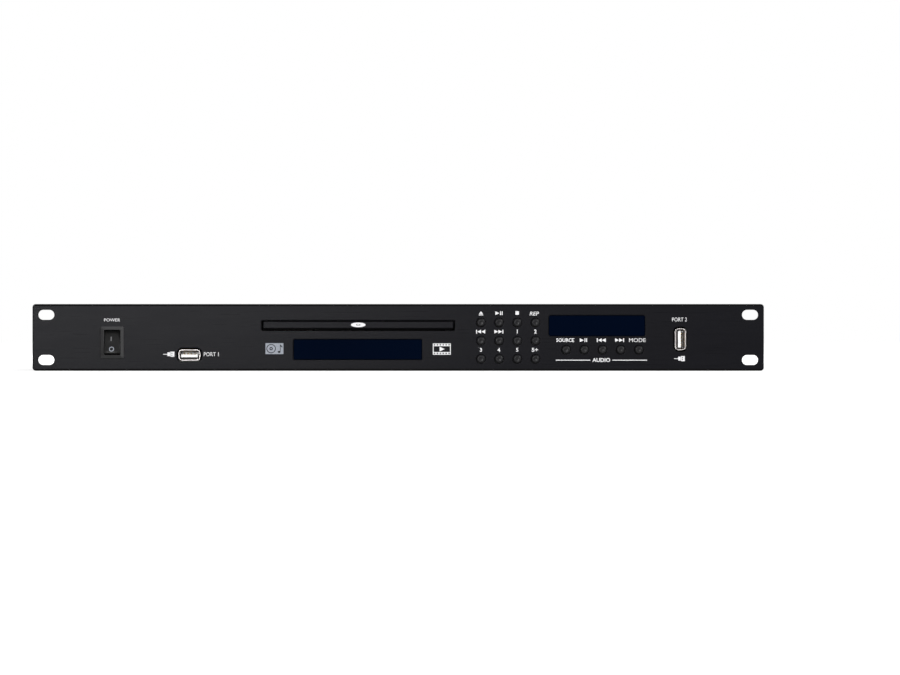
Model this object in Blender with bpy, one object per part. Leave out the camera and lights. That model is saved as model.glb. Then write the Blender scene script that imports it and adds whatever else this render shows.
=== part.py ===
# Rack-mount disc player: a one-unit front panel with keys, displays and two USB sockets,
# a sheet-metal case behind it, and a tray loader with its gear train, traverse and pickup.
# Metres, +Z up, the front panel faces -Y. The origin is under the middle of the player.

import math

import bmesh
import bpy
from mathutils import Matrix, Vector

# Fits shared by all pieces
seat_gap = 0.0003
join_depth = 0.0004
overrun = 0.001

# Front panel
panel_width = 0.4826
panel_height = 0.044
panel_thickness = 0.003
panel_corner_radius = 0.002
panel_edge_radius = 0.0006
rack_slot_width = 0.0108
rack_slot_height = 0.0066
rack_slot_from_end = 0.0091
rack_slot_spacing = 0.0298
rebate_depth = 0.0005
rebate_margin = 0.001
panel_boss_radius = 0.0015

# Case behind the panel
case_width = 0.432
case_depth = 0.235
case_top_drop = 0.0007
sheet_thickness = 0.001
cover_skirt_height = 0.012
front_tab_width = 0.012
front_tab_from_top = 0.002
rear_foot_depth = 0.009
vent_width = 0.0045
vent_height = 0.018
vent_pitch = 0.0095
vent_count = 6
vent_from_floor = 0.01
vent_from_rear = 0.03
standoff_radius = 0.0028
standoff_height = 0.0047

# Power switch
switch_x = -0.1885
switch_z = 0.0187
bezel_width = 0.015
bezel_height = 0.021
bezel_thickness = 0.002
bezel_slope_width = 0.0018
bezel_corner_radius = 0.0008
switch_body_wall = 0.0009
switch_body_depth = 0.014
rocker_well_width = 0.0109
rocker_well_height = 0.0168
rocker_well_depth = 0.0065
rocker_tilt_degrees = 10.0
rocker_pivot_depth = 0.0005
rocker_floor_depth = 0.0036
rocker_floor_share = 0.72
trunnion_radius = 0.001
trunnion_length = 0.0006
terminal_width = 0.0048
terminal_thickness = 0.0008
terminal_length = 0.007
terminal_spacing = 0.0058

# USB sockets
usb_left_x = -0.1377
usb_left_z = 0.0104
usb_right_x = 0.1862
usb_right_z = 0.0208
usb_lip_width = 0.0143
usb_lip_height = 0.0072
usb_lip_corner = 0.0022
usb_lip_depth = 0.0014
usb_shell_width = 0.0132
usb_shell_height = 0.0058
usb_shell_corner = 0.001
usb_shell_wall = 0.0004
usb_shell_depth = 0.014
usb_shell_recess = 0.0002
usb_opening_margin = 0.001
usb_tongue_width = 0.011
usb_tongue_thickness = 0.0018
usb_tongue_offset = 0.0006
usb_tongue_recess = 0.0012
usb_block_depth = 0.0045
usb_board_width = 0.022
usb_board_depth = 0.028
usb_board_standoff_inset = 0.004

# Circuit boards
board_thickness = 0.0016
front_board_depth = 0.0089

# Display windows
left_display_x = -0.0267
left_display_z = 0.014
left_display_width = 0.0849
left_display_height = 0.0136
left_display_corner = 0.0005
right_display_x = 0.1311
right_display_z = 0.0297
right_display_width = 0.0637
right_display_height = 0.0138
right_display_corner = 0.0012
window_recess = 0.0002
window_edge_radius = 0.0003
window_flange_margin = 0.0014
window_flange_thickness = 0.0009
display_tube_depth = 0.0045
display_board_overhang = 0.005
display_boss_inset = 0.0022

# Keys
key_cap_diameter = 0.0054
key_hole_gap = 0.0003
key_proud = 0.0011
key_dome_height = 0.0007
key_skirt_diameter = 0.0072
key_skirt_thickness = 0.0007
key_travel = 0.0005
key_grid_left_x = 0.0546
key_grid_top_z = 0.03175
key_row_left_x = 0.1108
key_row_z = 0.0138
key_pitch = 0.012
switch_block_side = 0.0048
left_board_margin = 0.0045
left_board_foot = 0.003
right_board_left_margin = 0.0012
right_board_right_margin = 0.0115
right_board_low_z = 0.003
right_board_high_z = 0.0412
right_board_boss_inset = 0.0018

# Disc tray and its slot
tray_x = -0.0264
tray_front_width = 0.1256
tray_front_height = 0.005
tray_front_low_z = 0.0277
tray_front_thickness = 0.003
tray_front_recess = 0.0002
tray_front_edge_radius = 0.0007
tray_front_corner_radius = 0.0008
tray_slot_side_gap = 0.001
tray_slot_top_gap = 0.0005
tray_slot_bottom_gap = 0.0013
tray_slot_corner_radius = 0.0008
tray_side_step = 0.0006
tray_length = 0.1852
tray_low_z = 0.027
tray_high_z = 0.0324
tray_corner_radius = 0.006
tray_travel = 0.135
tray_rail_width = 0.005
tray_front_wall = 0.006
tray_floor_thickness = 0.001
disc_centre_depth = 0.075
disc_recess_radius = 0.0604
disc_recess_depth = 0.0016
small_disc_radius = 0.0405
small_disc_step = 0.0006
tray_window_half_width = 0.02
tray_window_reach = 0.063
tray_window_corner = 0.005

# Tray drive
gear_module = 0.001
tray_gear_teeth = 24
drive_pinion_teeth = 12
pressure_angle_degrees = 20.0
addendum_share = 0.9
dedendum_share = 1.2
gear_backlash = 0.0004
gear_axis_depth = 0.03
rack_spare = 0.006
tray_gear_low_z = 0.021
tray_gear_bore_radius = 0.0023
pulley_low_z = 0.0155
pulley_height = 0.0044
pulley_radius = 0.013
pulley_groove_radius = 0.0117
pulley_flange_height = 0.0011
pinion_high_z = 0.0255
motor_pulley_radius = 0.0052
motor_pulley_groove_radius = 0.0034
belt_thickness = 0.0012
belt_spread = 0.038
post_shoulder_radius = 0.0036
post_top_drop = 0.0005
motor_radius = 0.012
motor_height = 0.0118
motor_shaft_radius = 0.001
motor_ring_height = 0.003
motor_ring_wall = 0.0014
motor_collar_radius = 0.0035
motor_collar_height = 0.0009

# Loader frame
tub_wall = 0.0033
tub_floor = 0.0018
tub_front_depth = 0.014
tub_beyond_pivot = 0.03
tub_high_z = 0.0357
tub_ledge_width = 0.0035
tub_ledge_height = 0.0017
tub_lip_width = 0.003
tub_lip_height = 0.0013
tub_end_wall = 0.0022
tub_front_wall_high_z = 0.016
tub_rear_wall_high_z = 0.021
tub_opening_half_width = 0.036
tub_opening_front_depth = 0.056
tub_opening_before_pivot = 0.01
tub_opening_corner = 0.006
tub_boss_radius = 0.005

# Traverse, in its raised and level place
traverse_drop = 0.0052
pivot_beyond_rods = 0.0075
pivot_z = 0.02
pivot_pin_radius = 0.002
pivot_pin_length = 0.0033
pivot_ear_thickness = 0.0026
pivot_ear_half_depth = 0.005
pivot_ear_above_axis = 0.004
traverse_half_width = 0.038
traverse_front_depth = 0.053
traverse_beyond_pivot = 0.003
traverse_low_z = 0.0225
traverse_thickness = 0.002
traverse_corner_radius = 0.006
traverse_rim_height = 0.0016
traverse_rim_width = 0.0016
traverse_window_half_width = 0.0195
traverse_window_front_gap = 0.0028
traverse_window_rear_gap = 0.0048
traverse_window_corner = 0.003
traverse_lug_width = 0.005
rod_radius = 0.0015
rod_z = 0.0195
rod_left_x = -0.0245
rod_right_x = 0.0195
rod_block_depth = 0.0035
rod_block_half_width = 0.0032
rod_block_wall = 0.0012
rod_front_reach = 0.0012
rod_rear_reach = 0.006

# Spindle, turntable and clamp
spindle_motor_radius = 0.011
spindle_motor_height = 0.0075
spindle_collar_radius = 0.0045
spindle_collar_height = 0.0028
spindle_shaft_radius = 0.001
spindle_shaft_reach = 0.006
platter_radius = 0.0145
platter_z = 0.0316
platter_thickness = 0.0036
platter_hub_radius = 0.005
platter_ring_width = 0.003
platter_ring_depth = 0.0004
cone_low_radius = 0.0073
cone_high_radius = 0.006
cone_height = 0.0016
clamp_low_z = 0.0331
clamp_plate_radius = 0.016
clamp_plate_thickness = 0.0018
clamp_neck_radius = 0.012
clamp_flange_radius = 0.0145
clamp_flange_thickness = 0.0012
clamp_recess_radius = 0.0092
clamp_recess_depth = 0.0012
clamp_rise = 0.0006
bridge_thickness = 0.0015
bridge_half_depth = 0.02
bridge_rim_height = 0.0024

# Pickup and its lead screw
pickup_travel = 0.033
pickup_inner_radius = 0.0245
pickup_half_depth = 0.0092
pickup_low_z = 0.0168
pickup_head_half_width = 0.0165
pickup_head_high_z = 0.0272
pickup_bearing_margin = 0.0033
pickup_slope_width = 0.0025
lens_radius = 0.004
lens_height = 0.0022
lens_rim = 0.0009
screw_radius = 0.0014
screw_x = 0.0295
screw_arm_height = 0.0028
screw_arm_half_depth = 0.004
sled_motor_radius = 0.006
sled_motor_length = 0.012
sled_motor_clearance = 0.0008

# Cam slider that lifts the traverse
cam_travel = 0.018
cam_pin_radius = 0.0015
cam_pin_x = 0.022
cam_pin_z = 0.0185
cam_to_traverse = 0.0045
cam_plate_thickness = 0.002
cam_plate_margin = 0.009
cam_slot_gap = 0.0004
cam_wall = 0.0024
cam_rail_height = 0.004
cam_rail_thickness = 0.0016
cam_rail_reach = 0.012

# Boards, sockets and supply at the back
board_low_z = 0.006
board_loader_gap = 0.0166
main_board_side_gap = 0.0097
main_board_front_depth = 0.036
main_board_rear_gap = 0.0012
power_board_side_gap = 0.0127
power_board_front_depth = 0.06
power_board_rear_gap = 0.0318
standoff_inset = 0.006
rear_standoff_inset = 0.0145
transformer_width = 0.034
transformer_depth = 0.03
transformer_height = 0.026
transformer_core_width = 0.014
transformer_coil_width = 0.026
transformer_core_overlap = 0.002
transformer_rear_gap = 0.035
inlet_from_wall = 0.0437
inlet_z = 0.0215
inlet_flange_width = 0.0307
inlet_flange_height = 0.0236
inlet_flange_thickness = 0.002
inlet_flange_corner = 0.0025
inlet_body_width = 0.0272
inlet_body_height = 0.0198
inlet_body_depth = 0.017
inlet_well_width = 0.0242
inlet_well_height = 0.0166
inlet_well_chamfer = 0.004
inlet_well_depth = 0.0145
inlet_pin_width = 0.002
inlet_pin_height = 0.004
inlet_pin_length = 0.0115
inlet_pin_spacing = 0.007
inlet_pin_offset = 0.003
audio_from_aerial = 0.062
audio_pitch = 0.014
audio_count = 3
audio_body_depth = 0.012
audio_body_height = 0.0145
audio_body_margin = 0.0065
audio_ring_radius = 0.0042
audio_bore_radius = 0.0017
audio_reach = 0.0085
audio_collar_radius = 0.0052
audio_collar_height = 0.001
aerial_from_wall = 0.0317
aerial_body_width = 0.014
aerial_ring_radius = 0.0048
aerial_bore_radius = 0.0012
aerial_reach = 0.0082

# Facets
small_round_facets = 8
round_facets = 14
large_round_facets = 24
disc_facets = 48
corner_steps = 3
key_dome_steps = 3
sharp_edge_degrees = 30.0

# Places worked out from the sizes above. Depth is counted back from the panel's front face.
rocker_tilt = math.radians(rocker_tilt_degrees)
rocker_crest = (rocker_pivot_depth + bezel_thickness) / math.cos(rocker_tilt)
rocker_half_height = rocker_well_height / 2 - seat_gap
rocker_face_length = rocker_half_height - rocker_crest * math.sin(rocker_tilt)
front_reach = bezel_thickness + rocker_face_length * math.sin(2 * rocker_tilt)
rebate_face_depth = panel_thickness - rebate_depth
case_front_depth = rebate_face_depth + seat_gap
case_rear_depth = case_front_depth + case_depth
rear_reach = audio_reach
front_y = front_reach - (front_reach + case_rear_depth + rear_reach) / 2
case_high_z = panel_height - case_top_drop
cover_low_z = case_high_z - sheet_thickness
wall_high_z = cover_low_z - seat_gap
base_width = case_width - 2 * (sheet_thickness + seat_gap)
board_high_z = board_low_z + board_thickness
rear_inner_depth = case_rear_depth - sheet_thickness
main_board_rear_depth = rear_inner_depth - main_board_rear_gap
power_board_rear_depth = rear_inner_depth - power_board_rear_gap
key_back_depth = rebate_face_depth + seat_gap + key_skirt_thickness
switch_front_depth = key_back_depth + key_travel + seat_gap
tray_half = tray_front_width / 2 - tray_side_step
tray_floor_z = tray_high_z - disc_recess_depth - small_disc_step
tray_floor_low_z = tray_floor_z - tray_floor_thickness
tray_front_depth = tray_front_recess + tray_front_thickness + seat_gap
tray_gear_radius = gear_module * tray_gear_teeth / 2
drive_pinion_radius = gear_module * drive_pinion_teeth / 2
rack_pitch_x = dedendum_share * gear_module + tray_rail_width - tray_half
tray_gear_x = rack_pitch_x + tray_gear_radius
tray_gear_high_z = tray_floor_low_z - seat_gap
pulley_x = tray_gear_x + tray_gear_radius + drive_pinion_radius
motor_x = pulley_x + belt_spread
tub_low_z = sheet_thickness + seat_gap
tub_floor_z = tub_low_z + tub_floor
tub_half = tray_half + seat_gap
tub_outer = tub_half + tub_wall
inner_half_width = base_width / 2 - sheet_thickness
main_board_edges = (tray_x + tub_outer + board_loader_gap, inner_half_width - main_board_side_gap)
power_board_edges = (power_board_side_gap - inner_half_width, tray_x - tub_outer - board_loader_gap)
power_board_x = sum(power_board_edges) / 2
inlet_x = inlet_from_wall - inner_half_width
aerial_x = inner_half_width - aerial_from_wall
audio_x = aerial_x - audio_from_aerial
pickup_middle_depth = disc_centre_depth + pickup_inner_radius
pickup_reach_depth = pickup_middle_depth + pickup_travel + pickup_half_depth
traverse_window_front_depth = pickup_middle_depth - pickup_half_depth - traverse_window_front_gap
traverse_window_rear_depth = pickup_reach_depth + traverse_window_rear_gap
rod_front_depth = traverse_window_front_depth - rod_front_reach
rod_rear_depth = traverse_window_rear_depth + rod_rear_reach
pivot_depth = rod_rear_depth + pivot_beyond_rods
traverse_rear_depth = pivot_depth + traverse_beyond_pivot
tub_rear_depth = pivot_depth + tub_beyond_pivot
tub_opening_rear_depth = pivot_depth - tub_opening_before_pivot
traverse_tilt = math.asin(traverse_drop / (pivot_depth - disc_centre_depth))
traverse_high_z = traverse_low_z + traverse_thickness
cam_plate_depth = traverse_front_depth - cam_to_traverse - cam_plate_thickness
cam_pin_drop = (pivot_depth - cam_plate_depth) * math.sin(traverse_tilt)
sled_motor_depth = pickup_middle_depth + pickup_travel + screw_arm_half_depth + sled_motor_clearance
screw_z = traverse_low_z - seat_gap - sled_motor_radius


# Shape helpers

def at_axis(a, b, along, axis):
    return {"x": (along, a, b), "y": (a, along, b), "z": (a, b, along)}[axis]


def loft(rings, axis="z", closed=False):
    mesh = bmesh.new()
    loops = []
    for outline, along in rings:
        loops.append([mesh.verts.new(at_axis(a, b, along, axis)) for a, b in outline])
    pairs = list(zip(loops, loops[1:]))
    if closed:
        pairs.append((loops[-1], loops[0]))
    else:
        mesh.faces.new(loops[0])
        mesh.faces.new(loops[-1])
    for first, second in pairs:
        for index, corner in enumerate(first):
            after = (index + 1) % len(first)
            mesh.faces.new((corner, first[after], second[after], second[index]))
    bmesh.ops.recalc_face_normals(mesh, faces=mesh.faces)
    data = bpy.data.meshes.new("shape")
    mesh.to_mesh(data)
    mesh.free()
    shape = bpy.data.objects.new("shape", data)
    bpy.context.scene.collection.objects.link(shape)
    return shape


def prism(outline, start, end, axis="z"):
    return loft([(outline, start), (outline, end)], axis)


def box(low, high):
    (x0, y0, z0), (x1, y1, z1) = low, high
    return prism([(x0, y0), (x1, y0), (x1, y1), (x0, y1)], z0, z1)


def circle(radius, facets, centre=(0, 0)):
    turns = [math.tau * index / facets for index in range(facets)]
    return [(centre[0] + radius * math.cos(turn), centre[1] + radius * math.sin(turn)) for turn in turns]


def turned(profile, facets, axis="z", centre=(0, 0), closed=False):
    return loft([(circle(radius, facets, centre), along) for radius, along in profile], axis, closed)


def arc(centre, radius, start, end, steps):
    points = []
    for index in range(steps + 1):
        turn = start + (end - start) * index / steps
        points.append((centre[0] + radius * math.cos(turn), centre[1] + radius * math.sin(turn)))
    return points


def rounded_rectangle(width, height, radius, centre=(0, 0), steps=corner_steps):
    points = []
    for quarter, (side, rise) in enumerate(((1, 1), (-1, 1), (-1, -1), (1, -1))):
        corner = (centre[0] + side * (width / 2 - radius), centre[1] + rise * (height / 2 - radius))
        points += arc(corner, radius, quarter * math.pi / 2, (quarter + 1) * math.pi / 2, steps)
    return points


def rounded_plate(width, height, radius, back, front, edge_radius, centre=(0, 0), edge_steps=2):
    rings = [(rounded_rectangle(width, height, radius, centre), back)]
    for index in range(edge_steps + 1):
        turn = math.pi / 2 * index / edge_steps
        inset = edge_radius * (1 - math.cos(turn))
        outline = rounded_rectangle(width - 2 * inset, height - 2 * inset, radius - inset, centre)
        rings.append((outline, front - edge_radius * (1 - math.sin(turn))))
    return loft(rings)


def combine(piece, shape, operation):
    modifier = piece.modifiers.new(operation, "BOOLEAN")
    modifier.operation = operation
    modifier.solver = "EXACT"
    modifier.object = shape
    bpy.context.view_layer.update()
    graph = bpy.context.evaluated_depsgraph_get()
    result = bpy.data.meshes.new_from_object(piece.evaluated_get(graph))
    piece.modifiers.clear()
    worn = [piece.data, shape.data]
    piece.data = result
    bpy.data.objects.remove(shape)
    for data in worn:
        bpy.data.meshes.remove(data)


def add(piece, *shapes):
    for shape in shapes:
        combine(piece, shape, "UNION")


def cut(piece, *shapes):
    for shape in shapes:
        combine(piece, shape, "DIFFERENCE")


def involute(angle):
    return math.tan(angle) - angle


def gear_outline(teeth, turn=0.0, centre=(0, 0)):
    pressure = math.radians(pressure_angle_degrees)
    pitch_radius = gear_module * teeth / 2
    base_radius = pitch_radius * math.cos(pressure)
    root_radius = pitch_radius - dedendum_share * gear_module
    tip_radius = pitch_radius + addendum_share * gear_module
    half_tooth = (math.pi * gear_module - gear_backlash) / (4 * pitch_radius)
    flank = [(root_radius, half_tooth + involute(pressure))]
    for radius in (pitch_radius, tip_radius):
        angle = math.acos(base_radius / radius)
        flank.append((radius, half_tooth + involute(pressure) - involute(angle)))
    points = []
    for tooth in range(teeth):
        middle = turn + math.tau * tooth / teeth
        sides = [(radius, middle - half) for radius, half in flank]
        sides += [(radius, middle + half) for radius, half in reversed(flank)]
        points += [(centre[0] + r * math.cos(a), centre[1] + r * math.sin(a)) for r, a in sides]
    return points


def rack_outline(pitch_x, back_x, start_depth, end_depth, space_depth):
    # Teeth point towards +X, with the middle of one space at space_depth
    pitch = math.pi * gear_module
    slope = math.tan(math.radians(pressure_angle_degrees))
    half_pitch_line = (pitch - gear_backlash) / 4
    half_root = half_pitch_line + dedendum_share * gear_module * slope
    half_tip = half_pitch_line - addendum_share * gear_module * slope
    root_x = pitch_x - dedendum_share * gear_module
    tip_x = pitch_x + addendum_share * gear_module
    first = math.ceil((start_depth + half_root - space_depth) / pitch - 0.5)
    last = math.floor((end_depth - half_root - space_depth) / pitch - 0.5)
    points = [(back_x, start_depth), (root_x, start_depth)]
    for tooth in range(first, last + 1):
        middle = space_depth + (tooth + 0.5) * pitch
        points += [(root_x, middle - half_root), (tip_x, middle - half_tip)]
        points += [(tip_x, middle + half_tip), (root_x, middle + half_root)]
    return points + [(root_x, end_depth), (back_x, end_depth)]


def belt_outline(large_radius, small_radius, spread, steps):
    # Open belt around a large pulley at zero and a small one at +spread
    lean = math.acos((large_radius - small_radius) / spread)
    points = arc((0, 0), large_radius, lean, math.tau - lean, 2 * steps)
    return points + arc((spread, 0), small_radius, -lean, lean, steps)


# Datums: empties that carry the pieces of one assembly

def new_datum(name, origin, parent=None, turn=(0, 0, 0)):
    datum = bpy.data.objects.new(name, None)
    bpy.context.scene.collection.objects.link(datum)
    datum.parent = parent
    datum.location = origin
    datum.rotation_euler = turn
    return datum


def finish(piece, name, colour, roughness, metallic, datum, origin=(0, 0, 0), datum_origin=(0, 0, 0)):
    material = bpy.data.materials.new(name + "_finish")
    material.use_nodes = True
    shader = material.node_tree.nodes["Principled BSDF"]
    shader.inputs["Base Color"].default_value = (*colour, 1)
    shader.inputs["Roughness"].default_value = roughness
    shader.inputs["Metallic"].default_value = metallic
    piece.data.transform(Matrix.Translation(-Vector(origin)))
    piece.data.materials.clear()
    piece.data.materials.append(material)
    piece.data.shade_smooth()
    piece.data.set_sharp_from_angle(angle=math.radians(sharp_edge_degrees))
    piece.name = name
    piece.data.name = name
    piece.parent = datum
    piece.location = Vector(origin) - Vector(datum_origin)
    return piece


# Colours as shown, and the finishes that several pieces share
panel_black = (0.021, 0.021, 0.025)
moulded_black = (0.018, 0.018, 0.02)
display_black = (0.002, 0.003, 0.012)
key_grey = (0.03, 0.03, 0.032)
case_black = (0.025, 0.025, 0.027)
white_plastic = (0.8, 0.8, 0.78)
bright_steel = (0.72, 0.72, 0.7)
board_green = (0.02, 0.12, 0.05)
brass_yellow = (0.75, 0.55, 0.2)
rubber_black = (0.01, 0.01, 0.01)


# Front panel and what shows on it. In this datum, x is across, y is height and z is outward.

def tray_slot_outline():
    low = tray_front_low_z - tray_slot_bottom_gap
    high = tray_front_low_z + tray_front_height + tray_slot_top_gap
    width = tray_front_width + 2 * tray_slot_side_gap
    return rounded_rectangle(width, high - low, tray_slot_corner_radius, (tray_x, (low + high) / 2))


def grid_key_places():
    names = (
        ("eject", "play_pause", "stop", "repeat"),
        ("previous", "next", "one", "two"),
        ("three", "four", "five", "five_plus"),
    )
    places = []
    for row, row_names in enumerate(names):
        for column, name in enumerate(row_names):
            x = key_grid_left_x + column * key_pitch
            places.append(("key_" + name, x, key_grid_top_z - row * key_pitch))
    return places


def row_key_places():
    names = ("source", "audio_play_pause", "audio_previous", "audio_next", "mode")
    xs = [key_row_left_x + index * key_pitch for index in range(len(names))]
    return [("key_" + name, x, key_row_z) for name, x in zip(names, xs)]


def left_board_boss_places():
    # In the middle of four keys each, between the outer columns and between the rows
    xs = sorted({x for _, x, _ in grid_key_places()})
    zs = sorted({z for _, _, z in grid_key_places()})
    columns = ((xs[0] + xs[1]) / 2, (xs[-2] + xs[-1]) / 2)
    rows = [(low + high) / 2 for low, high in zip(zs, zs[1:])]
    return [(x, z) for x in columns for z in rows]


def right_board_edges():
    left = right_display_x - right_display_width / 2 - window_flange_margin - right_board_left_margin
    _, last_key_x, _ = row_key_places()[-1]
    return left, last_key_x + right_board_right_margin


def right_board_boss_places():
    left, right = right_board_edges()
    low = right_board_low_z + right_board_boss_inset
    high = right_board_high_z - right_board_boss_inset
    sides = (left + right_board_boss_inset, right - right_board_boss_inset)
    return [(x, z) for x in sides for z in (low, high)]


def display_boss_places():
    reach = left_display_width / 2 + window_flange_margin + display_board_overhang - display_boss_inset
    return [(left_display_x + side * reach, left_display_z) for side in (-1, 1)]


def add_panel_bosses(panel):
    back = -rebate_face_depth + join_depth
    places = left_board_boss_places() + right_board_boss_places() + display_boss_places()
    for place in places:
        boss = circle(panel_boss_radius, small_round_facets, place)
        add(panel, prism(boss, seat_gap - front_board_depth, back))


def cut_usb_opening(panel, x, z, width, height):
    width = width + 2 * usb_opening_margin
    height = height + 2 * usb_opening_margin
    outline = rounded_rectangle(width, height, usb_lip_corner + usb_opening_margin, (x, z))
    cut(panel, prism(outline, -panel_thickness - overrun, overrun))


def front_panel():
    middle_z = panel_height / 2
    panel = rounded_plate(
        panel_width, panel_height, panel_corner_radius, -panel_thickness, 0, panel_edge_radius, (0, middle_z)
    )
    rebate_half = case_width / 2 + rebate_margin
    rebate_low = (-rebate_half, -overrun, -panel_thickness - overrun)
    cut(panel, box(rebate_low, (rebate_half, panel_height + overrun, -rebate_face_depth)))
    add_panel_bosses(panel)
    back = -panel_thickness - overrun
    for side in (-1, 1):
        for rise in (-1, 1):
            centre = (side * (panel_width / 2 - rack_slot_from_end), middle_z + rise * rack_slot_spacing / 2)
            end_radius = rack_slot_height / 2
            slot = rounded_rectangle(rack_slot_width, rack_slot_height, end_radius, centre, 2 * corner_steps)
            cut(panel, prism(slot, back, overrun))
    cut(panel, prism(tray_slot_outline(), back, overrun))
    switch_width = rocker_well_width + 2 * (switch_body_wall + seat_gap)
    switch_height = rocker_well_height + 2 * (switch_body_wall + seat_gap)
    low = (switch_x - switch_width / 2, switch_z - switch_height / 2, back)
    cut(panel, box(low, (switch_x + switch_width / 2, switch_z + switch_height / 2, overrun)))
    cut_usb_opening(panel, usb_left_x, usb_left_z, usb_lip_width, usb_lip_height)
    cut_usb_opening(panel, usb_right_x, usb_right_z, usb_lip_height, usb_lip_width)
    for x, z, width, height, corner in display_openings():
        outline = rounded_rectangle(width, height, corner, (x, z))
        cut(panel, prism(outline, back, overrun))
    for _, x, z in grid_key_places() + row_key_places():
        hole = circle(key_cap_diameter / 2 + key_hole_gap, round_facets, (x, z))
        cut(panel, prism(hole, back, overrun))
    finish(panel, "front_panel", panel_black, 0.5, 0.4, front_plane)


def display_openings():
    left = (left_display_x, left_display_z, left_display_width, left_display_height, left_display_corner)
    size = (right_display_width, right_display_height, right_display_corner)
    return left, (right_display_x, right_display_z, *size)


def display_window(name, place):
    x, z, width, height, corner = place
    window = rounded_plate(
        width - 2 * seat_gap,
        height - 2 * seat_gap,
        max(corner - seat_gap, window_edge_radius),
        -rebate_face_depth - seat_gap - join_depth,
        -window_recess,
        window_edge_radius / 2,
        (x, z),
    )
    margin = window_flange_margin
    flange = rounded_rectangle(width + 2 * margin, height + 2 * margin, corner + margin, (x, z))
    flange_front = -rebate_face_depth - seat_gap
    add(window, prism(flange, flange_front - window_flange_thickness, flange_front))
    finish(window, name, display_black, 0.12, 0.0, front_plane)


def display_tube(name, place, with_board):
    x, z, width, height, corner = place
    front = -rebate_face_depth - 2 * seat_gap - window_flange_thickness
    half_width = width / 2 + window_flange_margin
    half_height = height / 2
    back = seat_gap - front_board_depth
    tube = box((x - half_width, z - half_height, back), (x + half_width, z + half_height, front))
    if with_board:
        board_half = half_width + display_board_overhang
        low = (x - board_half, z - half_height, -front_board_depth - board_thickness)
        add(tube, box(low, (x + board_half, z + half_height, -front_board_depth)))
        add(tube, box((x - half_width, z - half_height, -front_board_depth - join_depth),
                      (x + half_width, z + half_height, back + join_depth)))
    finish(tube, name, display_black, 0.3, 0.0, front_plane)


def key(name, x, z):
    radius = key_cap_diameter / 2
    skirt = key_skirt_diameter / 2
    skirt_front = -rebate_face_depth - seat_gap
    rim = key_proud - key_dome_height
    profile = [
        (skirt, skirt_front - key_skirt_thickness),
        (skirt, skirt_front),
        (radius, skirt_front),
        (radius, rim),
    ]
    for index in range(1, key_dome_steps):
        turn = math.pi / 2 * index / key_dome_steps
        profile.append((radius * math.cos(turn), rim + key_dome_height * math.sin(turn)))
    cap = turned(profile, round_facets, "z", (x, z))
    finish(cap, name, key_grey, 0.42, 0.0, front_plane, (x, z, 0))


def switch_block(x, z):
    half = switch_block_side / 2
    low = (x - half, z - half, -front_board_depth - join_depth)
    return box(low, (x + half, z + half, -switch_front_depth))


def key_board_left():
    places = grid_key_places()
    xs = [x for _, x, _ in places]
    low_x = min(xs) - left_board_margin
    high_x = max(xs) + left_board_margin
    high_z = key_grid_top_z + left_board_margin
    back = -front_board_depth - board_thickness
    board = box((low_x, left_board_foot, back), (high_x, high_z, -front_board_depth))
    add(board, *[switch_block(x, z) for _, x, z in places])
    finish(board, "key_board_left", board_green, 0.45, 0.0, front_plane)


def key_board_right():
    left, right = right_board_edges()
    back = -front_board_depth - board_thickness
    board = box((left, right_board_low_z, back), (right, right_board_high_z, -front_board_depth))
    add(board, *[switch_block(x, z) for _, x, z in row_key_places()])
    finish(board, "key_board_right", board_green, 0.45, 0.0, front_plane)


# Power switch

def power_switch_body():
    centre = (switch_x, switch_z)
    slope = bezel_slope_width
    outer = rounded_rectangle(bezel_width, bezel_height, bezel_corner_radius, centre)
    inner = rounded_rectangle(
        bezel_width - 2 * slope, bezel_height - 2 * slope, bezel_corner_radius / 2, centre
    )
    body = loft([(outer, seat_gap), (outer, bezel_thickness - slope / 2), (inner, bezel_thickness)])
    half_width = rocker_well_width / 2 + switch_body_wall
    half_height = rocker_well_height / 2 + switch_body_wall
    low = (switch_x - half_width, switch_z - half_height, -switch_body_depth)
    add(body, box(low, (switch_x + half_width, switch_z + half_height, seat_gap + join_depth)))
    low = (switch_x - rocker_well_width / 2, switch_z - rocker_well_height / 2, -rocker_well_depth)
    high = (switch_x + rocker_well_width / 2, switch_z + rocker_well_height / 2, bezel_thickness + overrun)
    cut(body, box(low, high))
    reach = rocker_well_width / 2 - seat_gap + trunnion_length + seat_gap
    bearing = circle(trunnion_radius + seat_gap, small_round_facets, (switch_z, -rocker_pivot_depth))
    cut(body, prism(bearing, switch_x - reach, switch_x + reach, "x"))
    for place in (-1, 0, 1):
        middle = switch_z + place * terminal_spacing
        half_width, half_height = terminal_width / 2, terminal_thickness / 2
        low = (switch_x - half_width, middle - half_height, -switch_body_depth - terminal_length)
        high = (switch_x + half_width, middle + half_height, join_depth - switch_body_depth)
        add(body, box(low, high))
    finish(body, "power_switch_body", moulded_black, 0.38, 0.0, front_plane)


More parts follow.
